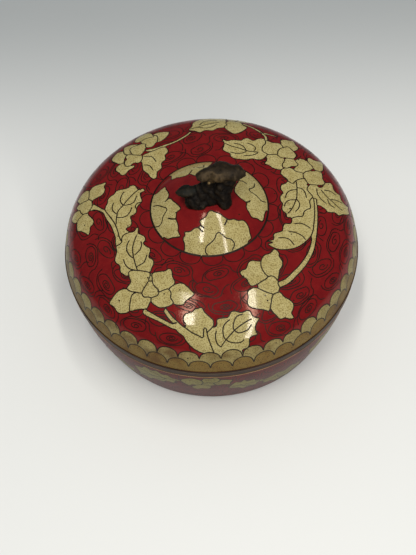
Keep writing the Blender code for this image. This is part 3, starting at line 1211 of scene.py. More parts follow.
@dataclass(frozen=True)
class WornCopper:
    """Turned copper, browned by handling.

    It gives the eye a dull grey-brown band that is lighter along its edges and beads, which lie at the given
    heights in millimetres: partly worn to bright metal, partly a painted highlight. Fine scratches run round
    it.
    """

    name: str
    edges: tuple[float, ...]
    brown: str
    grey: str
    # The colour of the lighter edges: partly worn metal, partly a painted highlight
    bright: str
    metallic: float = 0.8
    gloss: float = 0.5
    brown_roughness: float = 0.46
    bright_roughness: float = 0.26
    patina_size: float = 4.0
    patina_levels: Span = (0.35, 0.65)
    rub_size: float = 9.0
    rub_levels: Span = (0.32, 0.62)
    rub_least: float = 0.25
    scratch_size: float = 2.0
    scratch_depth: float = 0.06
    scratch_strength: float = 0.4
    scratch_crowding: float = 14.0
    # Half widths of the lighter band at each edge, full and fading out: partly worn metal, partly a painted
    # highlight
    bright_half: float = 0.10
    fade_half: float = 0.42

    def material(self) -> Material:
        """Return the material."""
        material, tree, place = blank(self.name)
        height = add(tree, "SeparateXYZ", {"Vector": place}).outputs["Z"]
        patina = Mottle(self.grey, self.patina_size, 5.0, *self.patina_levels)
        tone, _ = patina.over(tree, place, linear(self.brown))
        # Lighter bands at the edges' heights: partly worn copper, partly a painted highlight on the edges and
        # beads
        span = {"From Min": self.bright_half * MM, "From Max": self.fade_half * MM}
        rubbed_and_highlit: Any = 0.0
        for edge in self.edges:
            away = add(tree, "Math", {0: height, 1: -edge * MM}, operation="ADD")
            gap = add(tree, "Math", {0: away}, operation="ABSOLUTE")
            near = add(tree, "MapRange", {"Value": gap, "To Min": 1.0, "To Max": 0.0, **span})
            rubbed_and_highlit = add(tree, "Math", {0: rubbed_and_highlit, 1: near}, operation="MAXIMUM")
        rub = add(tree, "TexNoise", {"Vector": place, "Scale": grain(self.rub_size), "Detail": 4.0})
        low, high = self.rub_levels
        span = {"From Min": low, "From Max": high, "To Min": self.rub_least}
        rub_share = add(tree, "MapRange", {"Value": rub, **span})
        worn = add(tree, "Math", {0: rubbed_and_highlit, 1: rub_share}, operation="MULTIPLY")
        colour = add(tree, "Mix", {0: worn, 6: tone, 7: linear(self.bright)}, data_type="RGBA")
        span = {"To Min": self.brown_roughness, "To Max": self.bright_roughness}
        dull = add(tree, "MapRange", {"Value": worn, **span})
        stretch = add(tree, "Mapping", {"Vector": place, "Scale": (1.0, 1.0, self.scratch_crowding)})
        scratch = add(tree, "TexNoise", {"Vector": stretch, "Scale": grain(self.scratch_size), "Detail": 3.0})
        depth = {"Strength": self.scratch_strength, "Distance": self.scratch_depth * MM}
        bump = add(tree, "Bump", {"Height": scratch, **depth})
        gloss = {"Metallic": self.metallic, "Roughness": dull, "Specular IOR Level": self.gloss}
        close(tree, add(tree, "BsdfPrincipled", {"Base Color": colour.outputs[2], "Normal": bump, **gloss}))
        return material


@dataclass(frozen=True)
class CastBronze:
    """Bronze cast in a mould of wax and clay, with a nearly black brown patina.

    It gives the eye a dark matt skin, mottled and grainy from the mould, that is worn to a lighter brown
    metal where fingers hold it; the same lighter brown on the broad cap's front lip is a painted highlight.
    """

    name: str
    dark: str = "#0a0807"
    brown: str = "#1a1511"
    # The lighter brown of worn metal, also used for the painted highlight on the broad cap's front lip
    rubbed_and_highlit: str = "#ab9064"
    slate: str = "#101311"
    metallic: float = 0.4
    gloss: float = 0.2
    dark_roughness: float = 0.55
    rubbed_roughness: float = 0.36
    mottle_size: float = 1.1
    mottle_levels: Span = (0.45, 0.72)
    rub_size: float = 1.3
    rub_levels: Span = (0.35, 0.60)
    rub_least: float = 0.4
    skin_size: float = 0.5
    skin_depth: float = 0.15
    skin_strength: float = 0.5

    def material(self) -> Material:
        """Return the material."""
        material, tree, place = blank(self.name)
        mottle = Mottle(self.brown, self.mottle_size, 6.0, *self.mottle_levels)
        tone, _ = mottle.over(tree, place, linear(self.dark))
        polish = add(tree, "Attribute", attribute_name="polish").outputs["Fac"]
        # The wear attribute holds worn places and the painted highlight on the broad cap's front lip
        wear = add(tree, "Attribute", attribute_name="wear").outputs["Fac"]
        smooth = add(tree, "Mix", {0: polish, 6: tone, 7: linear(self.slate)}, data_type="RGBA")
        patch = add(tree, "TexNoise", {"Vector": place, "Scale": grain(self.rub_size), "Detail": 4.0})
        low, high = self.rub_levels
        span = {"From Min": low, "From Max": high, "To Min": self.rub_least}
        share = add(tree, "MapRange", {"Value": patch, **span})
        rub = add(tree, "Math", {0: wear, 1: share}, operation="MULTIPLY")
        worn = add(tree, "Mix", {0: rub, 6: smooth.outputs[2], 7: linear(self.rubbed_and_highlit)}, data_type="RGBA")
        skin = add(tree, "TexNoise", {"Vector": place, "Scale": grain(self.skin_size), "Detail": 4.0})
        depth = {"Strength": self.skin_strength, "Distance": self.skin_depth * MM}
        bump = add(tree, "Bump", {"Height": skin, **depth})
        span = {"To Min": self.dark_roughness, "To Max": self.rubbed_roughness}
        dull = add(tree, "MapRange", {"Value": wear, **span})
        gloss = {"Metallic": self.metallic, "Roughness": dull, "Specular IOR Level": self.gloss}
        close(tree, add(tree, "BsdfPrincipled", {"Base Color": worn.outputs[2], "Normal": bump, **gloss}))
        return material


@dataclass(frozen=True)
class PaleTable:
    """White painted board: a matt, nearly neutral surface.

    It greys softly behind the box, and again far away all round it, between the given distances in
    millimetres: painted shade in the board's colour.
    """

    name: str
    colour: str = "#dfe6ea"
    # Painted shade: the grey behind the box and the far grey all round, and the distances between which each
    # comes in
    shade: str = "#a9b1b6"
    painted_shade_from: float = 40.0
    painted_shade_to: float = 210.0
    far: str = "#5c6163"
    far_painted_shade_from: float = 280.0
    far_painted_shade_to: float = 900.0
    roughness: float = 0.6

    def material(self) -> Material:
        """Return the material."""
        material, tree, place = blank(self.name)
        # Painted shade: the colour greys towards the back, and again with distance all round
        back = add(tree, "SeparateXYZ", {"Vector": place}).outputs["Y"]
        span = {"From Min": self.painted_shade_from * MM, "From Max": self.painted_shade_to * MM}
        behind = add(tree, "MapRange", {"Value": back, **span}, interpolation_type="SMOOTHSTEP")
        board_and_painted_shade = {6: linear(self.colour), 7: linear(self.shade)}
        tone = add(tree, "Mix", {0: behind, **board_and_painted_shade}, data_type="RGBA")
        distance = add(tree, "VectorMath", {0: place}, operation="LENGTH").outputs["Value"]
        span = {"From Min": self.far_painted_shade_from * MM, "From Max": self.far_painted_shade_to * MM}
        away = add(tree, "MapRange", {"Value": distance, **span})
        with_far_painted_shade = add(tree, "Mix", {0: away, 6: tone.outputs[2], 7: linear(self.far)}, data_type="RGBA")
        shader = add(tree, "BsdfPrincipled", {"Base Color": with_far_painted_shade.outputs[2], "Roughness": self.roughness})
        close(tree, shader)
        return material


def outline_distance(places: Points, outline: Sequence[Place]) -> np.ndarray:
    """Return how far flat places lie outside an outline, negative inside it."""
    ring = np.array(outline, float)
    nearest = np.full(len(places), np.inf)
    for start, end in zip(ring, np.roll(ring, -1, axis=0)):
        run = end - start
        share = np.clip((places - start) @ run / (run @ run), 0, 1)
        nearest = np.minimum(nearest, np.linalg.norm(places - start - share[:, None] * run, axis=1))
    return np.where(inside(places, ring), -nearest, nearest)


def blend(distances: Sequence[np.ndarray], softness: float) -> np.ndarray:
    """Return the smooth union of several distance fields."""
    nearest = np.minimum.reduce(distances)
    return nearest - softness * np.log(sum(np.exp((nearest - d) / softness) for d in distances))


def wrap(field: np.ndarray, corner: Points, step: float) -> tuple[Points, np.ndarray]:
    """Wrap a closed mesh round the part of a grid where a field is negative.

    Args:
        field: The field's value at each corner of the grid.
        corner: The place of the grid's first corner.
        step: The grid's spacing.

    Returns:
        The mesh's corners and its four-sided faces.
    """
    total, hits, quads = np.zeros((*field.shape, 3)), np.zeros(field.shape), []
    units = np.eye(3, dtype=int)
    for axis in range(3):
        ahead, side, other = units[axis], units[axis - 2], units[axis - 1]
        near = field[tuple(slice(0, n - s) for n, s in zip(field.shape, ahead))]
        far = field[tuple(slice(s, None) for s in ahead)]
        spots = np.argwhere((near < 0) != (far < 0))
        start, end = near[tuple(spots.T)], far[tuple(spots.T)]
        crossing = spots + (start / (start - end))[:, None] * ahead
        cells = [spots - side - other, spots - other, spots, spots - side]
        for cell in cells:
            np.add.at(total, tuple(cell.T), crossing)
            np.add.at(hits, tuple(cell.T), 1)
        quad = np.column_stack([np.ravel_multi_index(cell.T, field.shape) for cell in cells])
        quads.append(np.where((start < 0)[:, None], quad, quad[:, ::-1]))
    used = np.flatnonzero(hits)
    order = np.zeros(field.size, int)
    order[used] = np.arange(len(used))
    middles = total.reshape(-1, 3)[used] / hits.ravel()[used][:, None]
    return corner + step * middles, order[np.vstack(quads)]


def unpinched(field: np.ndarray) -> np.ndarray:
    """Return a field in which no face of the grid is inside only at two opposite corners.

    A mesh wrapped round such a face would touch itself, so one more corner is taken inside.
    """
    within = field < 0
    found = True
    while found:
        found = False
        for axis in range(3):
            turned = np.moveaxis(within, axis, 2)
            a, b, c, d = turned[:-1, :-1], turned[1:, :-1], turned[:-1, 1:], turned[1:, 1:]
            for first, second, third, fourth in ((a, d, b, c), (b, c, a, d)):
                pinch = first & second & ~third & ~fourth
                found |= bool(pinch.any())
                third |= pinch
    return np.where(within & (field >= 0), -JUST_INSIDE, field)


@dataclass(frozen=True)
class Limb:
    """A round bar of the casting that swells and thins along its run."""

    stations: tuple[Station, ...]

    def distance(self, places: np.ndarray) -> np.ndarray:
        """Return each place's distance from the bar's skin."""
        nearest = np.full(places.shape[:-1], np.inf)
        for start, end in zip(self.stations, self.stations[1:]):
            foot, run = np.array(start[:3]), np.array(end[:3]) - np.array(start[:3])
            share = np.clip((places - foot) @ run / (run @ run), 0, 1)
            away = np.linalg.norm(places - foot - share[..., None] * run, axis=-1)
            nearest = np.minimum(nearest, away - start[3] - share * (end[3] - start[3]))
        return nearest


@dataclass(frozen=True)
class FungusCap:
    """A fungus cap with an angular outline, a low crown, a rolled wavy lip and a hollowed underside.

    Its lip lies in a plane through (height, slope to the right, slope to the back). Its crown rises over
    `crown_width` in from the edge, and a shallow groove follows the edge at `groove_share` of that.
    """

    outline: tuple[Place, ...]
    plane: Spot
    crown: float
    lip: float
    hollow: float
    wave: float
    crown_width: float = 3.4
    groove_share: float = 0.42
    groove_half: float = 0.12
    groove_depth: float = 0.22
    softness: float = 0.28

    def lip_height(self, flat: Points) -> np.ndarray:
        """Return the height of the lip's middle over flat places."""
        x, y = flat[:, 0], flat[:, 1]
        wave = np.sin(1.15 * x + 0.4) * np.cos(0.5 * y) + 0.5 * np.sin(2.3 * x - 0.8 * y + 1.3)
        return self.plane[0] + self.plane[1] * x + self.plane[2] * y + self.wave * wave

    def distance(self, places: np.ndarray) -> np.ndarray:
        """Return each place's distance from the cap's skin; the places are a grid."""
        flat = places[:, :, 0, :2].reshape(-1, 2)
        away = outline_distance(flat, self.outline)
        lip = self.lip_height(flat)
        share = np.clip(-away / self.crown_width, 0, 1)
        groove = self.groove_depth * np.exp(-(((share - self.groove_share) / self.groove_half) ** 2))
        top = lip + 0.5 * self.lip + self.crown * (1 - (1 - share) ** 2) - self.wave * groove * 2
        low = lip - 0.5 * self.lip + self.hollow * share
        shape = places.shape[:2]
        bounds = [v.reshape(shape)[:, :, None] for v in (away, top, low)]
        height = places[..., 2]
        parts = [bounds[0] + 0 * height, height - bounds[1], bounds[2] - height]
        return -blend([-part for part in parts], self.softness)


@dataclass
class Finial:
    """The cast finial: a sprig of fungus with a broad cap, a small cap, a knotty stem and rooted feet."""

    seat_curve: float = 34.87
    seat_top: float = 68.45
    step: float = 0.22
    gap: float = 0.03
    low: Spot = (-13.5, -9.5, 65.6)
    high: Spot = (15.0, 8.5, 83.0)
    top: float = 82.2
    broad_top: float = 79.2
    broad_low: float = 77.8
    small_low: float = 72.3
    broad: FungusCap = FungusCap(
        (
            (-4.6, 0.3), (-3.2, 1.7), (-1.6, 2.8), (0.6, 3.6), (2.7, 5.2), (4.6, 5.9), (6.6, 5.6), (8.8, 4.1),
            (9.9, 3.6), (11.6, 3.8), (12.5, 2.7), (14.0, -0.3), (13.4, -1.4), (11.4, -2.7), (9.8, -3.8),
            (8.2, -3.1), (6.4, -3.0), (4.6, -3.7), (2.6, -3.3), (0.9, -2.0), (-0.6, -2.8), (-2.2, -3.2),
            (-4.0, -2.0),
        ),
        plane=(79.2, 0.02, 0.0), crown=1.7, lip=1.6, hollow=0.5, wave=0.08,
    )
    small: FungusCap = FungusCap(
        (
            (-12.5, -2.2), (-10.9, -0.3), (-9.3, 1.0), (-7.6, 1.1), (-5.9, 0.2), (-4.4, 0.6), (-3.8, -2.4),
            (-6.0, -4.2), (-8.0, -4.7), (-9.8, -4.4), (-11.2, -3.6),
        ),
        plane=(72.9, 0.03, 0.02), crown=0.9, lip=1.4, hollow=0.3, wave=0.05,
    )

    # Each bar's places and its radius there, from the boss up
    limbs: tuple[Limb, ...] = (
        Limb((
            (-4.9, -4.2, 68.0, 2.7), (-3.0, -2.6, 70.6, 2.6), (-0.4, -0.8, 73.6, 2.5), (1.6, 0.4, 78.4, 2.6),
        )),
        Limb((
            (5.7, -4.9, 67.7, 2.3), (5.0, -3.3, 70.4, 2.5), (5.2, -1.2, 74.0, 2.6), (6.0, 0.5, 78.6, 2.8),
        )),
        Limb(((0.8, 3.6, 67.6, 3.0), (2.4, 2.4, 71.6, 3.1), (3.8, 1.6, 78.4, 3.3))),
        Limb(((-6.6, -3.6, 68.4, 2.6), (-6.2, -2.4, 70.6, 2.3), (-7.6, -1.9, 72.4, 1.7))),
        Limb(((-7.4, -2.0, 72.3, 1.5), (-4.4, -1.5, 72.4, 1.9), (-0.6, -0.8, 73.8, 2.4))),
        Limb(((3.2, -2.7, 73.4, 1.7), (4.2, -2.9, 75.2, 1.3))),
        Limb(((7.3, -1.9, 72.6, 1.7), (7.9, -0.9, 74.2, 1.9), (8.6, -0.6, 76.4, 1.7))),
        Limb(((0.8, -2.8, 68.4, 3.0), (1.6, -1.6, 72.0, 2.8))),
        Limb(((0.0, -1.8, 75.6, 1.2), (0.4, -2.2, 77.4, 0.7))),
        Limb(((7.2, -4.2, 68.0, 1.4), (7.2, -2.8, 70.0, 1.2))),
        Limb(((-2.6, -5.8, 67.7, 1.5), (-1.7, -4.6, 68.6, 1.3))),
    )
    rubbed_spot: Spot = (0.2, -2.9, 78.0)
    # Across where the painted highlight on the broad cap's front lip is strongest, and its half width
    lip_highlight_middle: float = 2.2
    lip_highlight_half: float = 3.6
    rubbed_reach: float = 0.55
    ridge_bulge: float = 0.05
    ridge_wear: float = 0.05
    crown_wear: float = 0.04
    # How strong the painted highlight on the broad cap's front lip is, and how far in from the edge and how
    # far back it goes
    lip_painted_highlight: float = 0.15
    lip_inner: float = -1.9
    lip_back: float = 1.5
    grit: float = 0.13
    crown_grit: float = 0.35
    knots: float = 0.14
    melt: float = 0.30
    cap_melt: float = 0.25

    def distances(self) -> tuple[np.ndarray, np.ndarray]:
        """Return the distance field of the whole casting and its grid's first corner."""
        low, high = np.array(self.low), np.array(self.high)
        axes = [np.arange(a, b, self.step) for a, b in zip(low, high)]
        places = np.stack(np.meshgrid(*axes, indexing="ij"), axis=-1)
        stem = blend([limb.distance(places) for limb in self.limbs], self.melt)
        x, y, z = (places[..., k] for k in range(3))
        knots = np.sin(1.3 * x + 0.8 * z) * np.sin(1.1 * y - 0.9 * z + 1.0)
        knots = knots + 0.6 * np.sin(2.4 * z + 1.7 * x - y)
        stem = stem + self.knots * knots
        whole = blend([stem, self.broad.distance(places), self.small.distance(places)], self.cap_melt)
        centre = np.array([0, 0, self.seat_top - self.seat_curve])
        seat = self.seat_curve + self.gap - np.linalg.norm(places - centre, axis=-1)
        return unpinched(np.maximum(whole, seat)), low

    def wear(self, points: Points, normals: Points, neighbours: Points) -> np.ndarray:
        """Return how far each point is lightened toward worn metal.

        Ridges and a spot below the broad cap's lip are worn, the cap's upper faces are a little lighter, and
        the front of its lip carries a painted highlight.
        """
        bulge = np.einsum("ij,ij->i", points - neighbours, normals)
        worn = np.clip(bulge / self.ridge_bulge, 0, 1) * self.ridge_wear
        away = outline_distance(points[:, :2], self.broad.outline)
        cap = points[:, 2] > self.broad_low
        worn = worn + self.crown_wear * np.where(cap & (normals[:, 2] > 0), 1, 0)
        front = cap & (away > self.lip_inner) & (points[:, 1] < self.lip_back)
        # Painted highlight: the broad cap's lip is lighter where it faces forward, most near its middle
        # across
        lip_highlight_facing = np.clip(0.25 - 1.0 * normals[:, 1] + 0.1 * normals[:, 2], 0, 1)
        middle = np.exp(-(((points[:, 0] - self.lip_highlight_middle) / self.lip_highlight_half) ** 2))
        worn = worn + self.lip_painted_highlight * np.where(front, lip_highlight_facing * middle, 0)
        reach = np.linalg.norm(points - np.array(self.rubbed_spot), axis=1)
        worn = np.maximum(worn, np.clip(1.5 - reach / self.rubbed_reach, 0, 1))
        return np.clip(worn, 0, 1)

    def build(self, material: Material) -> Object:
        """Build the finial in its bronze."""
        points, faces = wrap(*self.distances(), self.step)
        mesh = bpy.data.meshes.new("finial_cast")
        mesh.from_pydata((points * MM).tolist(), [], faces.tolist())
        mesh.update()
        edges = np.array([tuple(e.vertices) for e in mesh.edges])
        count = np.bincount(edges.ravel(), minlength=len(points))[:, None]

        def evened(values: Points) -> Points:
            """Return each corner's neighbours' average."""
            total = np.zeros_like(values)
            np.add.at(total, edges[:, 0], values[edges[:, 1]])
            np.add.at(total, edges[:, 1], values[edges[:, 0]])
            return total / count

        for _ in range(3):
            points = 0.5 * points + 0.5 * evened(points)
        mesh.vertices.foreach_set("co", (points * MM).ravel())
        mesh.update()
        normals = np.array([tuple(v.normal) for v in mesh.vertices])
        grit = [noise.fractal(Vector(p) * 0.8, 0.6, 2.1, 4) for p in points]
        broad = evened(evened(evened(evened(points))))
        small = outline_distance(points[:, :2], self.small.outline)
        polish = np.clip(-small / 0.6 + 0.6, 0, 1) * np.clip((points[:, 2] - self.small_low) / 0.6, 0, 1)
        worn = self.wear(points, normals, broad)
        rough = self.grit * (1 - polish) * np.where(points[:, 2] > self.broad_top, self.crown_grit, 1.0)
        points = points + normals * (rough * np.array(grit))[:, None]
        points[:, 2] = np.minimum(points[:, 2], self.top)
        mesh.vertices.foreach_set("co", (points * MM).ravel())
        # The wear attribute holds worn places and the painted highlight on the broad cap's front lip
        for name, values in (("wear", worn), ("polish", polish)):
            mesh.attributes.new(name, "FLOAT", "POINT").data.foreach_set("value", values.astype(np.float32))
        mesh.materials.append(material)
        mesh.shade_smooth()
        mesh.update()
        return placed("finial_cast", mesh)


@dataclass
class Studio:
    """The pale table, the even room, the two long lights over the box and the camera."""

    lens: float = 49.05
    pitch: float = 57.875
    yaw: float = -0.994
    roll: float = -3.255
    stand: Spot = (1.07, -177.93, 292.56)
    room: float = 0.14
    sky_power: float = 0.84
    left_glow: Span = (22.0, 28.0)
    right_glow: Span = (22.0, 25.0)
    sensor_width: float = 36.0
    glow_colour: str = "#fff4e6"
    room_colour: str = "#eef1f4"
    sky_tilt: Span = (-26.0, 6.0)
    aim_metres: Spot = (0.0, -0.02, 0.05)
    table_half_metres: float = 4.0

    def floor(self) -> Object:
        """Lay the table top."""
        mesh = bpy.data.meshes.new("table_top")
        half = self.table_half_metres
        corners = [(x * half, y * half, 0) for x, y in ((-1, -1), (1, -1), (1, 1), (-1, 1))]
        mesh.from_pydata(corners, [], [(0, 1, 2, 3)])
        mesh.materials.append(PaleTable("white painted board").material())
        return placed("table_top", mesh)

    def strip(self, name: str, high: Vector, low: Vector, width: float, glow: float) -> None:
        """Hang one long narrow light.

        Args:
            name: The light's name.
            high: Its end over the box, in metres.
            low: Its end before the box, in metres.
            width: Its width in metres.
            glow: How bright its face looks.
        """
        lamp = bpy.data.lights.new(name, "AREA")
        lamp.shape = "RECTANGLE"
        lamp.size = width
        lamp.size_y = (high - low).length
        lamp.energy = glow * math.pi * width * lamp.size_y
        lamp.color = linear(self.glow_colour)[:3]
        middle = (high + low) / 2
        along = (high - low).normalized()
        back = (middle - Vector(self.aim_metres)).normalized()
        side = along.cross(back).normalized()
        back = side.cross(along)
        light = placed(name, lamp)
        light.matrix_world = Matrix((side, along, back)).transposed().to_4x4()
        light.matrix_world.translation = middle

    def soft_light(self) -> None:
        """Light the scene from the whole pale room above, which leaves no shine of its own."""
        lamp = bpy.data.lights.new("soft room light", "SUN")
        lamp.energy = self.sky_power
        lamp.angle = math.radians(178)
        light = placed("soft room light", lamp)
        light.rotation_euler = (*(math.radians(a) for a in self.sky_tilt), 0)
        light.visible_glossy = False

    def lights(self) -> None:
        """Light the room faintly and hang two rows of lights, bright overhead and dim towards the front."""
        world = bpy.data.worlds.new("dim room")
        world.use_nodes = True
        background = world.node_tree.nodes["Background"]
        background.inputs["Color"].default_value = linear(self.room_colour)
        background.inputs["Strength"].default_value = self.room
        bpy.context.scene.world = world
        for name, back, front, width, glow in (
            ("left top light", (-0.09, 0.13, 0.86), (-0.14, -0.14, 0.86), 0.05, self.left_glow[0]),
            ("left front light", (-0.14, -0.14, 0.86), (-0.20, -0.46, 0.85), 0.07, self.left_glow[1]),
            ("right top light", (0.14, 0.13, 0.86), (0.26, -0.30, 0.85), 0.05, self.right_glow[0]),
            ("right front light", (0.26, -0.30, 0.85), (0.31, -0.84, 0.36), 0.05, self.right_glow[1]),
        ):
            self.strip(name, Vector(back), Vector(front), width, glow)
        self.soft_light()

    def camera(self) -> None:
        """Set the camera where the photograph was taken from."""
        pitch, yaw, roll = (math.radians(a) for a in (self.pitch, self.yaw, self.roll))
        ahead = Vector((math.sin(yaw) * math.cos(pitch), math.cos(yaw) * math.cos(pitch), -math.sin(pitch)))
        level = Vector((math.cos(yaw), -math.sin(yaw), 0))
        up = level.cross(ahead)
        right = math.cos(roll) * level + math.sin(roll) * up
        up = right.cross(ahead)
        lens = bpy.data.cameras.new("camera")
        lens.lens = self.lens
        lens.sensor_fit = "AUTO"
        lens.sensor_width = self.sensor_width
        lens.clip_start = 0.01
        camera = placed("camera", lens)
        camera.matrix_world = Matrix((right, up, -ahead)).transposed().to_4x4()
        camera.matrix_world.translation = Vector(self.stand) * MM
        bpy.context.scene.camera = camera

    def build(self) -> None:
        """Set up the whole studio."""
        self.floor()
        self.lights()
        self.camera()
        bpy.context.scene.view_settings.view_transform = "Standard"


def finishes(tag: str, red: GlassEnamel, cream: GlassEnamel, copper: WornCopper) -> list[Material]:
    """Return one piece's materials, in the order of Fill.

    Args:
        tag: The piece's name.
        red: The enamel of its ground.
        cream: The enamel of its flowers and leaves.
        copper: The finish of its bare rim.
    """
    # The shoulder's scallop creams: their own duller, stained cream, darker than the lid's cream as painted
    # shade
    shade_painted = GlassEnamel(
        f"{tag} aged cream glass enamel", "#786434", "#70582a", "#45351a", grain_share=1.0, pit_share=0.22,
        stain="#513519", stain_share=0.7, roughness=0.42, ior=1.20,
    )
    shade_painted_olive = GlassEnamel(
        f"{tag} olive cream glass enamel", "#8e8356", "#827648", "#524428", grain_share=1.0, pit_share=0.28,
        stain="#53391f", stain_share=0.8, roughness=0.36, ior=1.22,
    )
    counter = GlassEnamel(
        f"{tag} turquoise counter-enamel", "#4f8f8c", "#3f7d80", "#2f5f62", grain_share=0.7, pit_share=0.35,
        roughness=0.16,
    )
    wire = BentWire(f"{tag} blackened copper wire")
    return [finish.material() for finish in (red, cream, shade_painted, shade_painted_olive, wire, copper, counter)]


def body_finishes() -> list[Material]:
    """Return the body's materials.

    Hands have left its enamel duller than the lid's. Its red and cream are darker than the lid's: painted
    shade of the upright side.
    """
    # Darker than the lid's red and cream: painted shade of the side
    red = GlassEnamel(
        "body red glass enamel", "#58120f", "#4e100e", "#681e18", grain_share=0.30, pit_share=0.10,
        roughness=0.34, ior=1.20,
    )
    cream = GlassEnamel(
        "body cream glass enamel", "#777038", "#6a622f", "#4b4123", grain_share=1.0, pit_share=0.30,
        roughness=0.36, ior=1.22,
    )
    # Heights of the rim's bead, the rim's top, the lip and the foot, where the copper is lighter: partly
    # worn, partly a painted highlight
    edges = (33.75, 36.85, 39.2, 0.1)
    copper = WornCopper("body worn copper", edges, brown="#2e2119", grey="#3d2d22", bright="#a57c53")
    return finishes("body", red, cream, copper)


def lid_finishes() -> list[Material]:
    """Return the lid's materials; the gloss of its red glass is warmed by the copper under it."""
    red = GlassEnamel(
        "lid red glass enamel", "#6d1618", "#631216", "#7e2622", grain_share=0.30, pit_share=0.14,
        gloss_tint="#ffdcc8",
    )
    cream = GlassEnamel(
        "lid cream glass enamel", "#ada574", "#a19764", "#796c40", grain_share=1.25, pit_share=0.55, ior=1.38
    )
    # The lid's rim is nearly black: partly patina, partly painted shade of the dark line under the enamel;
    # its one lighter edge is partly worn, partly a painted highlight
    copper = WornCopper(
        "lid browned copper", (38.5,), brown="#140a06", grey="#20120b", bright="#40281a",
        metallic=0.1, gloss=0.05,
    )
    return finishes("lid", red, cream, copper)


BOSS_PEONIES = (
    # Back
    Patch(
        [(-15.9, 16.6), (-15.3, 14.7), (-15.1, 12.5), (-12.8, 12.7), (-11.3, 12.1), (-9.1, 12.1),
         (-7.5, 12.8), (-6.4, 12.1), (-5.3, 11), (-3.5, 10), (-1, 10.2), (1, 11.5), (0.9, 14), (0.4, 17.4),
         (1.5, 20.4), (2.3, 24.2), (3, 28), (-6, 29), (-14, 25), (-18, 19)],
        [[(-4.5, 18.2), (-1.9, 17), (-1.5, 20)]],
        [[(-7.5, 13), (-6.4, 15.7)]],
    ),
    # Left
    Patch(
        [(-22.3, 7.5), (-20.4, 8.1), (-17.8, 9.1), (-17, 6.8), (-16.1, 4.9), (-15.7, 3), (-16.3, 1.3),
         (-15.1, 1.1), (-13.8, -0.8), (-12.5, -2.3), (-11, -4.6), (-11.3, -5.5), (-12.5, -6.1),
         (-12.8, -7.2), (-13, -8.9), (-12.5, -10.6), (-12.3, -12.2), (-12.5, -14), (-11.9, -16.1),
         (-15.1, -15.9), (-17.4, -15.9), (-19.3, -14.8), (-23, -17), (-29, -8), (-29, 2), (-26, 9)],
        [[(-23.1, 0.9), (-20.8, 0), (-18.5, -1.7), (-17, -2.9), (-16.8, -4), (-17.8, -5.3), (-18.7, -6.5),
         (-19.3, -8.4), (-20.6, -9.5), (-22.7, -9.3)]],
        [[(-17.6, 0.3), (-16.6, 1), (-15.5, 1.5)], [(-16.3, -7.6), (-14.9, -8.4), (-13, -8.9)]],
    ),
    # Right
    Patch(
        [(15.9, 17), (15.6, 14), (14, 11.3), (12.5, 9.4), (11.8, 7.5), (10.6, 4.9), (9.9, 2.2), (10.6, 0.5),
         (12.2, -1.2), (14, -2.3), (14.6, -3.1), (14.4, -5), (15.4, -6.8), (16.7, -8.7), (19, -8.7),
         (20.9, -9.3), (22, -8.4), (22.6, -5.7), (23.9, -3.4), (27.5, -4), (29.5, 4), (26, 13), (19, 20)],
        [[(19.3, 9.8), (18.8, 7.5), (17.5, 5.7), (16.3, 4.9), (16.5, 3.6), (17.8, 3), (19.3, 2.2),
         (20.5, 1.1), (21.6, 0.3), (23.5, 0.7)]],
        [[(14.6, -2.5), (15.6, -2.1), (16.3, -1.2)], [(12.5, 8.5), (14, 8.5), (15.6, 7.4)]],
    ),
    # Front
    Patch(
        [(-10.8, -21.6), (-10.4, -19.3), (-10.8, -17.1), (-9.8, -15.9), (-10, -14.8), (-7.5, -14.8),
         (-6, -13.9), (-4.5, -13.7), (-3.4, -12.7), (-3.8, -11.4), (-2.2, -10.3), (-1.1, -9.5),
         (-0.7, -8.4), (0.6, -7.4), (2.3, -8.2), (4.2, -8.9), (5.3, -9.9), (6.5, -10.6), (7.4, -11),
         (9.3, -10.6), (11, -11), (12.9, -10.6), (14.4, -11.6), (15.4, -13.3), (15.8, -15.2), (16.5, -17.1),
         (15.2, -19), (17, -23), (8, -29), (-3, -29), (-13, -24)],
        [[(-1.3, -24.7), (-2.2, -22.8), (-1.5, -20.9), (0.2, -19.7), (1.7, -18.2), (2.3, -16.7), (3.4, -16),
         (5, -17.1), (6.1, -18), (8, -18.4), (9.3, -19.7), (9.3, -20.9), (8.6, -22.2)]],
        [[(6.7, -10.8), (6.1, -12.2), (5.5, -13.3)], [(-3.6, -12.9), (-2.2, -14.2)], [(-4.3, -13.9),
         (-2.8, -15.6)]],
    ),
)

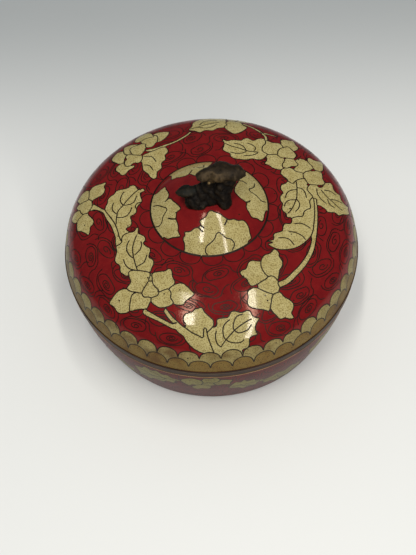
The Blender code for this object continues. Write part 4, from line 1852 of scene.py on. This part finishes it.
FRONT_LEFT_FLOWER = (
    Patch([(-32, -28.5), (-30.4, -28.1), (-24.3, -29.8), (-24.3, -32.5), (-25, -34.2), (-26.6, -36.7),
        (-27.2, -37.7), (-29.5, -37), (-31.2, -36.5), (-32.9, -35), (-31.6, -33.3), (-31.3, -32.5),
        (-31.8, -31.3), (-32.2, -29.4)]),
    Patch([(-22.9, -30.4), (-20.4, -29.8), (-18.3, -29.8), (-16.8, -29), (-15.6, -29.8), (-15.2, -32.5),
        (-14.3, -34.6), (-15, -36), (-16.8, -37.1), (-18.7, -37.6), (-20.2, -38.1), (-20.8, -37.1),
        (-22.3, -35.4), (-22.9, -33.8)]),
    Stem([(-23.4, -29.9), (-23.4, -33.5)], 1.2, 1.0),
    Patch([(-20.3, -38.3), (-17.9, -37.5), (-16.4, -37.9), (-15.8, -39.2), (-16, -40.8), (-15, -42.9),
        (-17, -44), (-20, -44.2), (-21.6, -43.3), (-23.1, -42.1), (-23.5, -40.4), (-22.5, -39.8),
        (-21, -39.4)]),
    Patch(
        [(-16.4, -37.7), (-14.5, -36.3), (-13.1, -35.4), (-11.2, -35.6), (-9.8, -36.7), (-7.9, -38.8),
         (-7, -40), (-8.3, -41.3), (-10.2, -42.5), (-11.2, -43.8), (-13.3, -43.8), (-15, -43.1),
         (-15.9, -41.3), (-15.7, -39.4)],
        ticks=[[(-12.7, -37.9), (-12.4, -38.1)]],
    ),
    Patch([(-32.5, -35.4), (-34.5, -35), (-36.6, -35.6), (-38.7, -37.3), (-40.6, -39.4), (-38.9, -41),
        (-37.5, -43.3), (-35.4, -44.2), (-32.5, -44), (-32, -42), (-31.5, -39.6), (-30.8, -37.9),
        (-29.1, -37.1), (-31.2, -36.5)]),
    Patch([(-31, -37.9), (-29.1, -37.7), (-27.3, -37.9), (-26.2, -39.3), (-23.9, -39.8), (-23.9, -41.3),
        (-25.2, -43.8), (-27.9, -43.7), (-30, -43.8), (-32.2, -43.8), (-31.8, -41.7), (-31.4, -39.6)]),
    Patch([(-23.9, -33.3), (-22.9, -34), (-22.3, -35.4), (-20.8, -37.1), (-20.3, -38.3), (-21, -39.4),
        (-23.3, -39.8), (-25.8, -39.6), (-27, -38.3), (-26.8, -37.1), (-25.4, -35.4), (-24.8, -34)]),
)

LEFT_LEAVES = (
    Patch(
        [(-35.4, -14.6), (-36.3, -12.7), (-37.3, -8.9), (-38.4, -5.8), (-39.8, -3), (-41.5, -0.2),
         (-42.6, 1.9), (-42.6, 3.6), (-41.9, 5.3), (-41.7, 7.4), (-40.5, 9), (-39.3, 9.7), (-38.4, 11.2),
         (-37, 11.8), (-35.3, 11.9), (-33.5, 12.5), (-32.8, 13.3), (-31.1, 13.5), (-30.2, 12.3),
         (-29.7, 11.2), (-28.7, 10.9), (-27.8, 11.6), (-26.8, 10.5), (-27.6, 9.7), (-28.7, 9), (-28.5, 7.1),
         (-28, 4.6), (-29.4, 2.6), (-30.1, 1), (-30.1, -0.6), (-30.9, -2), (-32.3, -2.8), (-32, -4.7),
         (-31.8, -6.5), (-32.5, -7.9), (-33.9, -8.6), (-33.5, -9.6), (-32.5, -10.6), (-34.6, -11.5),
         (-35.4, -13.1)],
        [[(-30.6, 1.5), (-30.5, 2.7), (-29.7, 3.8), (-28.2, 4.3)], [(-37.9, -5.8), (-37.9, -3),
         (-37.7, -1.3), (-37.2, 0.8), (-35.4, 3.3), (-33.9, 5.7), (-32.1, 8.1), (-30.6, 9.8),
         (-29.2, 11.2)], [(-37.7, -1.1), (-39.1, 0.5), (-39.8, 2.2), (-39.7, 3.6), (-39.3, 5.2)],
         [(-37.7, -2.7), (-35.6, -2.9), (-33.9, -2.3), (-32.5, -0.2), (-32.1, 1.7)], [(-35.4, 3.1),
         (-36.5, 5.3), (-36.5, 7.4), (-35.6, 9.8), (-35.1, 10.4)], [(-35.4, 3.3), (-33.2, 3.3),
         (-31.4, 4.3), (-30.6, 6), (-30.2, 7.8)]],
    ),
    Patch([(-49.5, 3.3), (-47.4, 3.3), (-45.3, 2.2), (-43.3, 0.5), (-42.2, -2.3), (-40.5, -5.4),
        (-39.3, -8.2), (-38, -12.4), (-37.7, -16), (-36, -15.7), (-35.4, -14.6), (-36.3, -12.7),
        (-37.3, -8.9), (-38.4, -5.8), (-39.8, -3), (-41.5, -0.2), (-42.6, 1.5), (-43.9, 2.9), (-46.4, 5.3),
        (-48.1, 6.4)]),
    Patch(
        [(-35.3, -14.5), (-34.6, -11.7), (-32.5, -11), (-30.7, -10.3), (-29.9, -8.7), (-29, -9.2),
         (-29.2, -11.3), (-27.8, -12.4), (-26.6, -13.4), (-26.2, -15), (-26.9, -16.5), (-25.9, -17.9),
         (-24.5, -19), (-24.1, -20.4), (-24.3, -21.3), (-24.5, -23.3), (-23, -24.4), (-22.6, -26.3),
         (-23.3, -27.9), (-24.3, -29.6), (-30.4, -28.3), (-32, -28.7), (-32.6, -30.2), (-34.1, -29.4),
         (-35.5, -27.9), (-35.8, -25.4), (-37.4, -23.8), (-37.8, -22.1), (-37.2, -19), (-37.5, -16.5),
         (-36, -15.7)],
        [[(-28.7, -28.5), (-29.5, -26.3), (-30.5, -22.5), (-30.9, -20), (-31, -17.9), (-30.6, -15.5),
         (-29.7, -12.4)], [(-32.5, -14.6), (-33.2, -16.5), (-33.2, -19), (-32.1, -21.4), (-30.8, -22.7)],
         [(-28, -15.5), (-27.6, -16.9), (-28.1, -19.3), (-29.9, -21.3)], [(-34.4, -22.8), (-33.7, -25),
         (-32, -27.1), (-29.5, -28.3)], [(-25.4, -21.9), (-25.8, -23.8), (-26.6, -25.4), (-29.1, -26.7)]],
    ),
)

LEFT_FLOWER = (
    Patch([(-54.9, 15.6), (-53, 16.3), (-51.2, 15.9), (-50.5, 14.5), (-50.4, 10.2), (-52.6, 9.8),
        (-54.7, 9.7), (-55.8, 11.2), (-57, 13)]),
    Patch([(-50, 15.2), (-49.2, 16.6), (-47.1, 17.1), (-44.6, 17.1), (-43.3, 17.5), (-42.9, 16.6),
        (-43.6, 15.1), (-43.1, 13.3), (-43.6, 11.2), (-45, 10), (-47.4, 9.2), (-48.6, 8.6), (-49.8, 9.8),
        (-50.4, 10.5), (-50.5, 14)]),
    Patch([(-54.5, 6), (-53.7, 4.3), (-52.6, 2.7), (-54.4, 1.5), (-55.1, 0.5), (-56.4, 0.1), (-58.5, 1.9),
        (-59.4, 3.6), (-59, 5.3), (-57.8, 6.4), (-56.1, 6.4)]),
    Patch([(-54.9, 0.5), (-54, 1.9), (-52.3, 2.7), (-50.2, 2.6), (-49.5, 1.2), (-48.1, -0.6), (-47.2, -2.3),
        (-47.4, -4), (-48.5, -4.9), (-48.6, -6.8), (-49.2, -8.7), (-50.5, -7.5), (-52.6, -5.8),
        (-54.7, -4.7), (-55.2, -3), (-55.4, -1.3)]),
    Patch([(-56.8, 9), (-54.7, 9.7), (-52.3, 10), (-49.8, 9.5), (-48.6, 7.8), (-48.3, 5.7), (-49.2, 3.9),
        (-50.5, 2.9), (-52.5, 2.7), (-53.8, 4.3), (-54.5, 6), (-56.1, 7.4)]),
)

LEFT_BACK_FLOWER = (
    Patch([(-31.7, 43.3), (-29.5, 46.8), (-26.9, 47.7), (-24.7, 46.4), (-23.8, 44.6), (-23.4, 42.5),
        (-26.9, 42), (-29.1, 40.3), (-31.3, 40.7)]),
    Patch([(-23.2, 44.2), (-21.2, 45.5), (-18.1, 45.1), (-16.2, 44.2), (-17.3, 41.1), (-19.5, 38.5),
        (-21.4, 38.1), (-21.2, 40.7), (-21.9, 42.9)]),
    Patch([(-27.4, 42), (-25.6, 42.5), (-23.4, 42.5), (-21.9, 42.9), (-21.6, 40.7), (-21.9, 38.1),
        (-23.4, 35.4), (-25.6, 35), (-26.5, 35.9), (-26.5, 37.6), (-28.2, 38.5), (-28.9, 40.7)]),
    Patch([(-36.6, 38.1), (-36.1, 38.9), (-33.5, 39.4), (-31.3, 38.9), (-29.5, 38.1), (-32.6, 37.2),
        (-33.5, 35.4), (-32.8, 33.2), (-33.9, 32.1), (-35.7, 33.2), (-36.3, 35.4)]),
    Patch([(-40.1, 35.4), (-38.3, 36.1), (-36.6, 35.4), (-36.1, 33.7), (-34.8, 32.1), (-35.5, 29.7),
        (-35.7, 27.5), (-37.4, 26.9), (-39.6, 28.6), (-41.6, 31.5)]),
    Patch([(-35.7, 27.1), (-34.8, 24.9), (-33.1, 24.7), (-31.1, 24.9), (-31.3, 23.6), (-33.5, 22.1),
        (-34.8, 20.1), (-36.6, 19.9), (-37.4, 21.4), (-39, 23.2), (-38.8, 25.4), (-37.4, 26.4)]),
    Patch([(-34.8, 31.5), (-33.1, 32.1), (-31.3, 31.3), (-29.1, 30.6), (-27.8, 29.7), (-28.2, 27.1),
        (-29.5, 26), (-31.3, 26.2), (-33.5, 24.9), (-34.8, 25.4), (-35, 27.5), (-34.6, 29.3)]),
    Patch([(-33.3, 35.7), (-32.8, 37.2), (-30.4, 37.4), (-28.2, 38.1), (-26.7, 37.4), (-26.5, 35.4),
        (-26.9, 33.2), (-28.2, 31.1), (-30, 30.8), (-31.7, 31.5), (-32.6, 33.7)]),
    Patch(
        [(-27.6, 30.2), (-25.6, 31.5), (-22.5, 32.8), (-20.3, 33.9), (-18.1, 34.3), (-17, 32.8),
         (-16.8, 31.1), (-18.1, 29.3), (-17.9, 27.1), (-19.7, 24.9), (-19.7, 22.3), (-21.6, 20.1),
         (-21.9, 17.5), (-23, 16.4), (-24.7, 17.5), (-25.6, 19.4), (-27.4, 21.4), (-27.8, 24), (-28, 27.1)],
        [[(-26.9, 29.5), (-24.3, 29.3), (-23, 28), (-22.1, 26)], [(-26.9, 24.5), (-24.7, 23.8),
         (-23.4, 21.4)]],
    ),
    Stem([(-26.2, 33), (-22.5, 33.6), (-18.2, 35.2), (-13.5, 37.2), (-9, 40.5), (-6.8, 43)], 1.1, 1.0),
)

BACK_FLOWER = (
    Petal((12, 53), (22, 56), 7.5),
    Petal((11, 55), (4.5, 60.5), 6.5),
    Petal((13, 55), (16, 60.5), 6.5),
    Patch([(8.2, 47.1), (8.2, 44.9), (10.4, 41.9), (12.5, 40.6), (15.2, 41.9), (16.9, 43.6), (18, 45.8),
        (16.5, 47.6), (15.5, 50.5), (11.5, 52.5), (9, 50)]),
    Heart((12, 54.5), 2.75),
    Stem([(16.1, 49.3), (19.6, 46.7), (22.2, 44.1), (24.4, 41.4), (25.7, 38.8), (25.7, 36.2)], 1.0, 1.3),
    Stem([(23.9, 42.3), (27.5, 41), (30.5, 40.1)], 1.0, 0.7),
    Patch(
        [(-7.6, 44.6), (-5, 43.5), (-2.8, 42.3), (-0.2, 43.6), (2.9, 43.2), (5.1, 44.9), (7.7, 45.4),
         (9.2, 47.5), (9, 51), (8.5, 55.5), (5, 57.5), (2, 56.5), (-1, 57), (-3.5, 54), (-5.9, 50.5),
         (-6.3, 47.3)],
        [[(-6.8, 45.2), (-3, 46.8), (1, 48.6), (6, 50.2)], [(-3.5, 46.2), (-0.5, 45.4), (2.5, 46),
         (4.6, 48)], [(-3, 48), (-1, 51), (2, 52.6), (5, 52.2)]],
    ),
)

RIGHT_BACK_FLOWERS = (
    Patch(
        [(6.8, 37.3), (7.7, 36.8), (9, 36.2), (10.8, 36.6), (13, 36.5), (15, 36.2), (16.1, 37.3),
         (17.8, 37.7), (19.3, 36.6), (20.2, 36), (21.8, 37.1), (23.7, 37.7), (25, 36.8), (25.3, 34.4),
         (23.9, 32.2), (23.7, 30), (24.4, 28.7), (25.7, 27.8), (25.5, 27), (24.4, 25.4), (23.1, 24.6),
         (21.3, 24.6), (19.3, 25.2), (16.9, 24.8), (14.3, 25.2), (11.7, 25.9), (10.1, 27.2), (9.9, 28.7),
         (8.2, 29.8), (6.8, 31.1), (7.3, 33.1), (7.5, 34.9)],
        [[(7.7, 34.9), (10.4, 33.1), (14.3, 31.4), (17.4, 29.8), (20, 29.2), (21.5, 28.9)], [(11.7, 34.6),
         (14.3, 33.8), (16.1, 32), (16.7, 30.3)], [(17.4, 34.6), (19.6, 33.3), (20.9, 31.4), (20.4, 29.8)],
         [(10.1, 29.6), (12.5, 28.7), (15.2, 28.7), (16.9, 29.6)], [(16.1, 27.2), (19.1, 27.2),
         (21.3, 28.1), (21.8, 28.9)]],
    ),
    Patch([(25.3, 35.7), (26.6, 36), (28.3, 35.1), (31, 35.1), (32.1, 34), (32.7, 32.2), (31.4, 31.4),
        (30.3, 29.6), (29.9, 27.8), (27.5, 27.4), (25.7, 27.6), (24.4, 28.7), (23.7, 30.3), (24.2, 32.2),
        (25.3, 33.8)]),
    Patch([(32.1, 37.5), (34, 38.6), (36.2, 38.8), (38, 39.5), (38.6, 37.9), (38.9, 35.7), (39.7, 34),
        (38.9, 31.8), (37.3, 30.5), (36.4, 31.4), (35.6, 32.7), (34.3, 33.1), (32.9, 32.2), (32.3, 34),
        (32.1, 35.7)]),
    Patch([(25.7, 27), (27, 27.4), (29.6, 27.2), (31, 25.9), (32.7, 25), (32.5, 23.5), (31.6, 21.7),
        (31.6, 20.2), (31.1, 18.6), (29.4, 18.8), (27.5, 19.7), (26, 21.2), (24.3, 22.3), (25.2, 23.9)]),
    Patch([(32.9, 25), (34.9, 25.4), (36.4, 25), (37.3, 23.7), (38.2, 22.1), (37.3, 20.8), (35.4, 20.6),
        (33.5, 19.5), (32, 20.1), (31.8, 21.3), (32.5, 23)]),
    Patch([(34.3, 32.9), (35.6, 32.4), (36.4, 30.9), (37.8, 28.7), (37.8, 27), (36.7, 25.4), (35.4, 25.2),
        (33.6, 25.9), (31.4, 25.9), (30.1, 27.4), (30.1, 29.2), (31.8, 31.4), (33.2, 32.4)]),
    Patch([(42.8, 27), (44.1, 27.8), (45.9, 27), (47.6, 27.4), (49.8, 28.5), (50.5, 27), (50, 24.3),
        (49.4, 21.7), (48.3, 20.1), (46.8, 19.7), (44.9, 20.3), (44.1, 22.6), (42.8, 24.8)]),
    Patch([(31.1, 18), (32.4, 19.3), (33.9, 19.5), (35.8, 19.3), (36.9, 17.8), (39.2, 17.2), (39.8, 15.5),
        (39.2, 14), (36.9, 12.9), (35.8, 11.7), (34.9, 11), (33.5, 12.1), (32.8, 13.6), (31.3, 15.2),
        (30.5, 16.9)]),
    Patch([(42.2, 18.6), (44.1, 19.1), (46, 19.3), (47.9, 19.3), (48.3, 17.4), (48.1, 15.2), (48.7, 13.3),
        (47.9, 11.7), (46.4, 11.2), (44.5, 11), (42.2, 10.8), (40.9, 12.1), (40.3, 14), (40, 15.9),
        (40.7, 17.8)]),
    Patch([(37.8, 25), (39.3, 25.9), (41.3, 25.6), (42.4, 24.3), (43.2, 22.8), (44.6, 21.9), (44.5, 20.5),
        (42.6, 19.3), (41.1, 18.2), (39.6, 17.4), (37.3, 17.8), (36.2, 19.1), (37.7, 21), (38.1, 22.2),
        (37.3, 23.9)]),
)

RIGHT_LEAVES = (
    Patch(
        [(33.2, -7.2), (35, -6.4), (37.5, -5.9), (38.3, -3.8), (39.6, -2.5), (41.1, -1.5), (41.1, 1.9),
         (42.6, 3.8), (42.8, 0.8), (42.4, -4.5), (41.5, -9.8), (40.7, -13.3), (39.2, -16.1), (37.3, -18.2),
         (35, -20.1), (32.4, -21.4), (29.4, -22), (26.7, -22), (24.4, -21), (22.9, -19.7), (24.8, -18.8),
         (22.5, -18.2), (25.2, -17.4), (25.6, -14.8), (28.8, -13.4), (29.4, -11.4), (30.3, -9.8),
         (32.4, -9.8), (33.2, -8.3)],
        [[(34.3, -9.7), (36.2, -9.5), (38.1, -10.2), (40, -11.7)], [(31.6, -13.6), (33.9, -14),
         (36.2, -15.3), (37.5, -17)], [(27.1, -16.7), (29.4, -16.6), (31.3, -17.4), (32.8, -19.7)]],
    ),
    Patch(
        [(46, 9.8), (47.9, 11), (49.4, 13.3), (51.3, 14.2), (52.3, 13.6), (52.5, 11), (53.2, 9.5),
         (55.5, 8.7), (55.5, 6.8), (56.3, 5.3), (58.2, 4.5), (60, 4.9), (59.3, 2.7), (59.7, 0.8),
         (57.8, -0.8), (55.1, -1.9), (53, -3.2), (51.3, -2.3), (49.4, -2.7), (47.9, -2.8), (47, -1.5),
         (45.3, -0.2), (43.4, 0.4), (43.2, 2.3), (42.6, 4.5), (41.1, 6.8), (40.7, 8.7), (42.2, 10.6),
         (44.5, 10.8)],
        [[(44.7, 9.1), (44.7, 6.1), (46, 3.4), (47.9, 1.5)], [(46.4, 8.7), (48.3, 5.7), (50.6, 3.4),
         (52.9, 1.5), (55.1, 0.2)], [(47.9, 8.7), (50.6, 8.9), (52.9, 7.8)], [(50.2, 4.2), (52.9, 4.7),
         (55.9, 4.4)], [(48.7, 3.8), (49.4, 1.5), (51.3, 0.2)]],
    ),
    Patch(
        [(30.5, 10.2), (32.2, 11), (33.3, 12.3), (34.7, 11), (36.2, 11.7), (38.1, 13.1), (39.8, 13.6),
         (40.7, 11.7), (40.9, 8.7), (40.9, 6.8), (42.6, 4.5), (41.3, 2.7), (41, 0.8), (40.9, -1.5),
         (39.2, -2.7), (38.1, -4.2), (37.5, -5.9), (35, -6.3), (33, -6.8), (31.3, -6.4), (31.3, -4.9),
         (30.1, -3.4), (29.9, -1.5), (30.3, 0.4), (29.6, 1.9), (29.7, 4.2), (30.9, 6.1), (30.1, 8)],
        [[(36.6, 11.9), (36.6, 8.7), (36.2, 4.2), (35, 0.4), (33.5, -2.7), (32, -4.7)], [(31.6, 3.4),
         (32.4, 5.7), (33.9, 7.2), (36.4, 7.7)], [(36.8, 8.7), (38.5, 8.3), (39.6, 6.4), (40, 3.4)],
         [(30.9, -1.1), (31.6, 0.8), (33.2, 2.1), (35.8, 2.3)], [(36.2, 2.3), (36.9, 0.4), (36.4, -1.9),
         (34.9, -3.8)]],
        [[(32.9, -2.1), (33.2, -2.2)]],
    ),
    Stem([(43.2, 3.5), (43.2, 0), (43, -4), (42.2, -10), (41, -16), (39.6, -21), (37.6, -25), (34.8, -29),
        (31.8, -32.2), (28.7, -35.2), (25.2, -37)], 1.3, 2.2),
)

FRONT_RIGHT_FLOWER = (
    Patch([(21.5, -33.6), (20.1, -32), (19.3, -29.9), (19.3, -27.8), (20, -25.8), (21.2, -24.5),
        (22.9, -23.9), (24, -23), (24.7, -22.1), (26.6, -23.2), (26.6, -25.1), (27.6, -27.2), (27.3, -29.2),
        (26.2, -31), (25.7, -33.1), (25, -35), (24, -33.9), (22.7, -33.4)]),
    Patch([(19.1, -27.5), (17.4, -27.2), (16, -27), (14.6, -27.7), (13.9, -29.2), (13.2, -30.6),
        (11.8, -31.1), (10.9, -32.2), (11.8, -33.8), (13.2, -34.8), (13.9, -36.5), (14.9, -37.6), (17, -37),
        (18.8, -35.8), (20.5, -34.8), (21.2, -33.8), (20, -31.7), (19.1, -29.6)]),
    Patch([(14.8, -38.6), (16.7, -38.3), (18.4, -39), (20.5, -40), (22.7, -40.7), (22.2, -42.4),
        (21.7, -44.9), (21, -46.9), (19.1, -46.6), (17.4, -46.4), (15.3, -46.1), (13.5, -45.4),
        (12.9, -43.8), (13.4, -41.7), (13.2, -40)]),
    Patch([(22.9, -40.9), (24.8, -39.8), (26, -40), (27.1, -41.4), (29.2, -42.4), (30.7, -43.8),
        (30.6, -45.6), (30, -47.3), (31.1, -48.9), (29.5, -49.5), (27.4, -49.2), (25.3, -49.7),
        (23.6, -48.3), (22.2, -46.9), (22, -44.9), (22.2, -42.8)]),
    Patch([(20.5, -34.8), (21.5, -33.8), (22.9, -33.4), (24.3, -34.3), (25.2, -35.8), (25.5, -37.9),
        (24.8, -39.7), (22.9, -40.7), (21.2, -40.2), (19.4, -39.3), (17.7, -38.6), (17.5, -37),
        (19.1, -36.2)]),
)

FRONT_BRANCH = (
    Patch(
        [(-12, -51.4), (-14.2, -49.2), (-15.3, -48.1), (-16.6, -46.4), (-17.7, -44.9), (-18.7, -45.5),
         (-17.8, -47.3), (-16.4, -49.2), (-15.3, -50.6), (-20, -47.9), (-25.6, -44.4), (-26.5, -45.8),
         (-20.6, -49.3), (-16, -52.1), (-14.7, -52.5), (-13.5, -53.9), (-12, -55.1), (-11.2, -56.6),
         (-10.1, -58.3), (-8.5, -60.1), (-6.4, -61.6), (-4.5, -62.4), (-2.5, -62.9), (-0.5, -62.6),
         (-1, -60.8), (-1.6, -58.9), (-2.2, -57), (-2.7, -55.2), (-3, -53), (-3.7, -52.8), (-4, -53.7),
         (-4.4, -56.2), (-6.2, -55.3), (-8.5, -54.1), (-10.1, -52.8)],
        ticks=[[(-15.2, -50.3), (-14.2, -50.2)]],
    ),
    Patch([(-10.6, -51), (-11.4, -49.7), (-11.3, -48.3), (-10.6, -47.3), (-9.1, -47), (-7.8, -46.6),
        (-7, -45.8), (-5.5, -45.5), (-4.5, -45.3), (-3.9, -45.8), (-3.5, -46.8), (-2.4, -48), (-1, -49.3),
        (-0.2, -50.1), (-0.1, -51.8), (-1, -53), (-2, -53.9), (-2.5, -54.9), (-3.1, -52.8), (-3.8, -52.9),
        (-4.1, -54.5), (-4.4, -56.2), (-6.2, -55.3), (-8.5, -54.1), (-10.6, -52.2)]),
    Patch(
        [(1.7, -49.7), (3.8, -49.4), (5.4, -49.2), (6.6, -47.3), (8.3, -47.1), (10.1, -47.6), (11.5, -47.3),
         (12.8, -46.8), (13.9, -47.3), (14.6, -48.7), (16, -49.4), (17.2, -49.7), (16.1, -51.5),
         (15.6, -53.2), (16.1, -54.8), (16.7, -55.6), (14.9, -56), (13.5, -57), (13.5, -59.4),
         (12.8, -60.8), (10.8, -61.9), (12, -66), (4, -67), (-1, -66), (-0.5, -62), (-1, -60.8),
         (-1.6, -58.9), (-2.2, -57), (-2.4, -55.5), (-2, -53.9), (-1, -53), (0.1, -52.8), (1, -52),
         (1.1, -50.3)],
        [[(14.2, -49.9), (11.8, -51.1), (8.3, -53.4), (6.3, -55.3), (4.2, -57.5), (2.4, -60)],
         [(10.9, -48.2), (8.7, -49), (7.5, -51.1), (7.3, -53.5), (9, -54.8), (10.8, -54.6), (12.8, -53.7),
         (14.2, -51.8)], [(6.1, -50.1), (4.2, -51.5), (3.3, -53.5), (3.6, -56.3), (5.2, -57.9),
         (7.6, -58.6), (10.1, -58.4), (11.3, -57.4)], [(0.8, -54.1), (0.4, -55.5), (0.5, -57.2),
         (1.1, -58.9), (2.2, -59.9)]],
    ),
)

LID_GARLAND = (
    *BACK_FLOWER,
    *LEFT_BACK_FLOWER,
    *LEFT_FLOWER,
    *FRONT_LEFT_FLOWER,
    *LEFT_LEAVES,
    *RIGHT_BACK_FLOWERS,
    *RIGHT_LEAVES,
    *FRONT_RIGHT_FLOWER,
    *FRONT_BRANCH,
)


# The flower and leaves of the body's side: each is an outline and its veins, as (along, height) places
SIDE_SPRAY = (
    (
        [(-33.0, 14.4), (-31.6, 20.0), (-32.4, 27.0), (-29.4, 28.4), (-27.4, 31.4), (-24.6, 30.2),
         (-22.7, 31.8), (-20.4, 29.8), (-18.3, 30.4), (-16.6, 28.4), (-13.4, 27.6), (-15.6, 25.6),
         (-16.4, 22.6), (-19.6, 22.4), (-21.2, 19.2), (-25.0, 19.4), (-27.6, 15.6), (-30.2, 16.8)],
        [(-15.0, 26.6), (-21.0, 25.6), (-27.0, 22.6), (-31.0, 18.8)],
        [(-20.6, 25.7), (-22.8, 28.0), (-25.8, 28.6)],
        [(-25.0, 23.8), (-27.6, 25.8), (-30.2, 25.6)],
        [(-19.4, 25.9), (-21.0, 23.2), (-23.8, 21.6)],
    ),
    (
        [(16.4, 19.4), (18.6, 17.0), (19.4, 12.4), (22.6, 11.8), (25.2, 7.2), (28.8, 8.4), (31.6, 5.4),
         (34.2, 9.0), (38.0, 11.4), (36.4, 14.2), (37.0, 18.6), (33.4, 18.4), (31.2, 21.4), (27.8, 19.4),
         (24.4, 21.6), (21.4, 19.6)],
        [(18.4, 18.4), (24.0, 15.8), (30.0, 13.2), (36.0, 12.2)],
        [(23.4, 16.0), (25.8, 18.6), (28.6, 18.4)],
        [(28.4, 13.8), (31.0, 16.6), (34.2, 16.4)],
        [(25.4, 15.2), (26.6, 11.8), (29.4, 9.8)],
    ),
    (
        [(4.8, 19.0), (5.4, 22.6), (7.0, 26.0), (9.0, 25.4), (10.4, 27.2), (12.0, 24.8), (14.6, 24.8),
         (15.4, 22.2), (18.8, 20.4), (16.2, 18.6), (15.8, 15.6), (13.0, 16.4), (10.4, 14.4), (8.6, 17.0)],
        [(5.8, 20.0), (10.0, 21.4), (17.2, 20.2)],
        [(9.0, 21.0), (11.0, 18.6), (13.0, 18.2)],
    ),
    ([(-9.6, 21.6), (-6.6, 25.0), (-3.4, 24.6), (-2.0, 22.4), (-3.2, 19.6), (-5.6, 19.6), (-7.6, 18.2),
     (-9.2, 19.4)],),
    ([(-13.4, 28.4), (-11.2, 31.0), (-8.4, 31.8), (-5.6, 30.2), (-5.0, 27.6), (-6.6, 25.0), (-9.2, 24.4),
     (-10.4, 22.8), (-12.4, 25.2)],),
    ([(-5.6, 30.0), (-4.4, 32.6), (-2.0, 32.4), (-0.2, 33.4), (1.4, 30.8), (0.0, 28.4), (-2.6, 27.6),
     (-5.0, 27.8)],),
    ([(1.2, 30.8), (3.4, 30.6), (6.0, 29.6), (5.2, 27.2), (5.0, 24.8), (2.4, 25.4), (0.4, 24.6),
     (-1.0, 26.8), (0.0, 28.4)],),
    ([(-5.2, 27.6), (-2.6, 28.4), (-0.6, 27.0), (-0.8, 24.8), (-3.2, 24.2), (-5.8, 25.2)],),
)


def main() -> None:
    """Build the pieces in order and report each."""
    logging.basicConfig(level=logging.INFO, format="%(name)s: %(message)s")
    pieces = (
        ("body", "body_enamel", Body().build(body_finishes())),
        ("lid", "lid_enamel", Lid().build(lid_finishes())),
        ("finial", "bronze", Finial().build(CastBronze("dark cast bronze").material())),
    )
    for node, slot, piece in pieces:
        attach(piece, "root")
        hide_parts(node)
        log.info("%s: %d faces", piece.name, len(piece.data.polygons))
    Studio().build()


if __name__ == "__main__":
    main()
